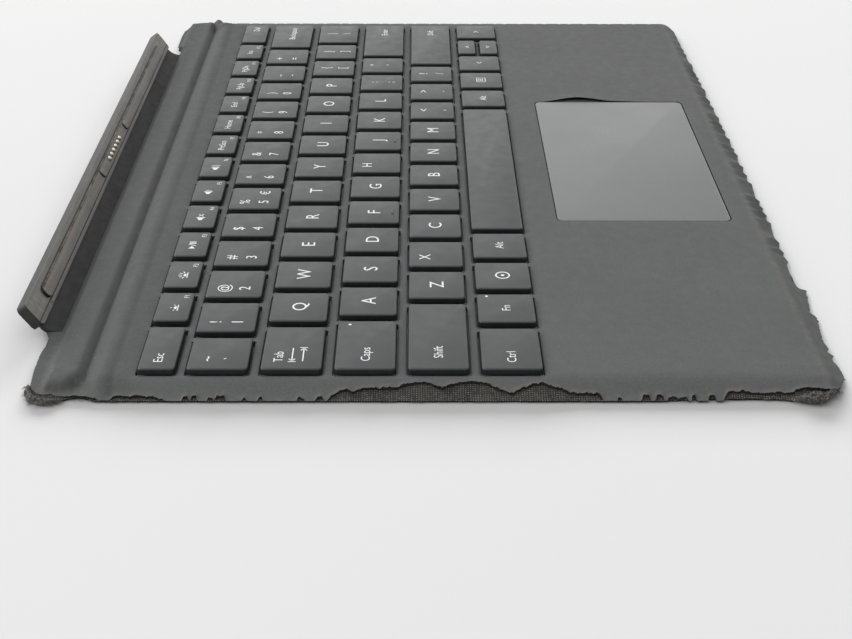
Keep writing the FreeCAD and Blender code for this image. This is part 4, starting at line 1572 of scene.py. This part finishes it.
def trim_mouldings():
    level = deck_top - moulding_drop
    bevel_top = -edge_x + deck_left[0] + deck_left[1]
    left = ((bevel_top, 0, level), (-2.4, 0, 5.25))
    back_line = groove_line - deck_back_rise - moulding_back_gap
    back = ((0, back_line, level - 0.1), (0, 2.2, deck_back_rise))
    corner_x = edge_x - moulding_corner
    corners = [((side * corner_x, back_line, level - 0.1), (side * 2.2, 2.2, 3.0)) for side in (-1, 1)]
    front_corner = ((bevel_top + 1, front_y + 6.5, level), (-1.7, -1.7, 3.0))
    trimmed_copy("key_lattice", "key_moulding", "keyboard", [left, back] + corners)
    trimmed_copy("palm_frame", "palm_moulding", "keyboard", [left, front_corner])
    end_top = edge_x - sum(panel_left_end)
    ends = [((side * end_top, 0, level - 0.3), (side * 2.4, 0, 3.4)) for side in (-1, 1)]
    ends += [((side * end_top, fold_end + 1.0, level - 0.5), (side * 2.0, -1.7, 3.0)) for side in (-1, 1)]
    rear = ((0, panel_back - 3.0, level - 0.5), (0, 2.4, 2.3))
    sloped = ((0, panel_back - 5.0, level - 0.3), (0, 0.14, 1.0))
    trimmed_copy("panel_stiffener", "panel_board", "fold_panel", ends + [rear, sloped])
    pressed = ((0, 0, pressed_cap_room), (0, 0, 1))
    trimmed_copy("rubber_domes", "low_domes", "keyboard", [pressed])
    trimmed_copy("scissor_links", "low_links", "keyboard", [pressed])


# Touchpad

def make_touchpad():
    pad = rounded_block("touch_surface", pad_low, pad_high, touchpad_corner, touchpad_edge)
    paint(pad, [TOUCHPAD, BLACK], 0.1)
    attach(pad, "touchpad")
    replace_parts(pad, "touchpad_plate")


# Fluff and loose fibres

def frayed_roll(path):
    """A lump of frayed cloth along a path of (x, y, z, radius)."""
    rings = []
    for n in range(rings_per_length * (len(path) - 1) + 1):
        i = min(n // rings_per_length, len(path) - 2)
        share = n / rings_per_length - i
        x, y, z, radius = [a + (b - a) * share for a, b in zip(path[i], path[i + 1])]
        heading = math.atan2(path[i + 1][1] - path[i][1], path[i + 1][0] - path[i][0])
        ring = []
        for k in range(points_per_ring):
            turn = 2 * math.pi * k / points_per_ring
            swell = radius * (dice.uniform(0.72, 1.22) + 0.45 * rough(2 * n, 3 * k, 4.0, 61))
            side = swell * math.cos(turn)
            ring.append((x - side * math.sin(heading), y + side * math.cos(heading),
                         max(z + swell * math.sin(turn), 0.03)))
        rings.append(ring)
    return ring_stack(rings)


def fibre(root, heading, lift, length, width):
    """One bent fibre: three small triangles joined along its length."""
    rings = []
    for n in range(4):
        share = n / 3
        reach = length * share
        bend = heading + 0.9 * share * math.sin(40 * (root[0] + root[1]))
        x, y = root[0] + reach * math.cos(bend), root[1] + reach * math.sin(bend)
        z = max(root[2] + reach * lift * (1 - 0.5 * share), 0.06)
        thick = width * (1 - 0.6 * share)
        turns = [2 * math.pi * k / 3 for k in range(3)]
        ring = [(thick * math.cos(a), thick * math.sin(a)) for a in turns]
        rings.append([(x + side, y + side, z + up) for side, up in ring])
    return ring_stack(rings)


def random_fibre(root, headings, lifts, lengths, width):
    """A fibre with its heading, lift and length drawn from ranges."""
    return fibre(root, dice.uniform(*headings), dice.uniform(*lifts), dice.uniform(*lengths), width)


# Paths of the frayed lumps at the two near corners: x, y, z and radius
near_right_roll = [
    (-144.9, -88.8, 0.9, 0.4), (-145.2, -90.5, 1.2, 0.9), (-145.4, -92.5, 1.5, 1.35),
    (-145.4, -94.5, 1.5, 1.45), (-145.0, -96.0, 1.4, 1.1), (-143.9, -97.2, 1.35, 0.8),
    (-142.8, -98.4, 1.3, 0.85), (-142.0, -99.6, 1.2, 0.6), (-141.6, -100.4, 1.1, 0.25),
]
near_left_roll = [
    (-138.5, 104.9, 0.7, 0.4), (-142.0, 104.4, 0.8, 0.8), (-144.6, 102.8, 0.9, 0.95),
    (-146.0, 100.4, 0.8, 0.9), (-146.0, 97.8, 0.7, 0.75), (-145.2, 95.6, 0.6, 0.4),
]


def make_fluff():
    """Frayed lumps at the two near corners, and fibres that stand out of them and out of the tear."""
    lumps, fibres = ([], [], []), ([], [], [])
    for path in (near_right_roll, near_left_roll):
        add_shape(lumps, frayed_roll(path))
        for _ in range(corner_fibres):
            x, y, z, radius = dice.choice(path)
            turn = dice.uniform(-0.4, 1.2) * math.pi
            root = (x - 0.7 * radius + dice.uniform(-0.8, 0.8), y + dice.uniform(-1.0, 1.0),
                    z + 0.7 * radius * math.sin(turn))
            add_shape(fibres, random_fibre(root, (2.2, 4.1), (-0.6, 0.7), (0.5, 1.5), 0.05))
    for _ in range(tear_fibres):
        y = dice.uniform(front_y + 4, panel_back)
        inset = left_inset(y)
        if inset > 1.2:
            x = -edge_x + dice.uniform(0.8, inset)
            root = (x, y, top_height(x, y) - film_thickness)
            add_shape(fibres, random_fibre(root, (1.6, 4.7), (0.0, 0.6), (0.4, 1.1), 0.035))
    for name, store, material in (("frayed_corners", lumps, FRAY), ("loose_fibres", fibres, THREAD)):
        piece = new_piece(name, store, [material])
        bend_at_fold(piece)


# Stage

def make_stage():
    bpy.ops.object.select_all(action="DESELECT")
    bpy.ops.mesh.primitive_plane_add(size=floor_size, location=(0, 0, floor_level * MM))
    floor = settled("floor")
    floor.data.materials.append(floor_material())
    bpy.context.scene.world = studio_world()
    add_light("overhead", (250, 1500, 1500), (0, 0, 0), (1500, 1500), 14.0)
    behind = add_light("behind", (5800, 800, 1500), (0, 0, 0), (6000, 1500), 1500.0)
    behind.visible_glossy = False
    lit_floor = bpy.data.collections.new("lit_floor")
    lit_floor.objects.link(floor)
    behind.light_linking.receiver_collection = lit_floor
    scene = bpy.context.scene
    scene.view_settings.view_transform = "Standard"
    scene.view_settings.look = "None"


def studio_world():
    """White surroundings, brighter behind the cover and on its hinge side."""
    world = bpy.data.worlds.new("studio")
    world.use_nodes = True
    tree = world.node_tree
    place = tree.nodes.new("ShaderNodeTexCoord")
    slope = tree.nodes.new("ShaderNodeVectorMath")
    slope.operation = "DOT_PRODUCT"
    slope.inputs[1].default_value = (0.36, 0.4, 0.0)
    tree.links.new(place.outputs["Generated"], slope.inputs[0])
    level = tree.nodes.new("ShaderNodeMath")
    level.operation = "ADD"
    level.inputs[1].default_value = 0.86
    tree.links.new(slope.outputs["Value"], level.inputs[0])
    tree.links.new(level.outputs["Value"], tree.nodes["Background"].inputs["Strength"])
    tree.nodes["Background"].inputs["Color"].default_value = (1.0, 1.0, 1.0, 1)
    return world


def floor_material():
    s = Shader("floor_paper")
    s.colour(s.ramp(s.noise(0.002, 2), (0.3, 0.43), (0.7, 0.445)))
    return s.set(Roughness=0.7, Specular_IOR_Level=0.2).material


def add_light(name, place, target, size, power):
    light = bpy.data.lights.new(name, "AREA")
    light.shape = "RECTANGLE"
    light.size, light.size_y = size[0] * MM, size[1] * MM
    light.energy = power
    lamp = bpy.data.objects.new(name, light)
    direction = Vector(target) - Vector(place)
    turn = direction.to_track_quat("-Z", "Y").to_matrix().to_4x4()
    lamp.matrix_world = Matrix.Translation(Vector(place) * MM) @ turn
    bpy.context.scene.collection.objects.link(lamp)
    return lamp


def make_camera():
    data = bpy.data.cameras.new("camera")
    data.sensor_width = camera_sensor
    data.lens = camera_lens
    data.clip_start = 0.01
    level = math.cos(camera_pitch)
    ahead = Vector((level * math.cos(camera_yaw), -level * math.sin(camera_yaw), -math.sin(camera_pitch)))
    right = Vector((-math.sin(camera_yaw), -math.cos(camera_yaw), 0))
    up = right.cross(ahead)
    turn = Matrix((right, up, -ahead)).transposed() @ Matrix.Rotation(camera_roll, 3, "Z")
    camera = bpy.data.objects.new("camera", data)
    camera.matrix_world = Matrix.Translation(Vector(camera_place) * MM) @ turn.to_4x4()
    bpy.context.scene.collection.objects.link(camera)
    bpy.context.scene.camera = camera


make_camera()
make_stage()
dress_hidden_nodes()
make_keys()
trim_mouldings()
bend_ribbons()
make_bottom_sheet()
make_top_sheet()
make_backing()
make_hinge_cloth()
make_spine()
make_lugs()
make_pins()
make_touchpad()
make_fluff()
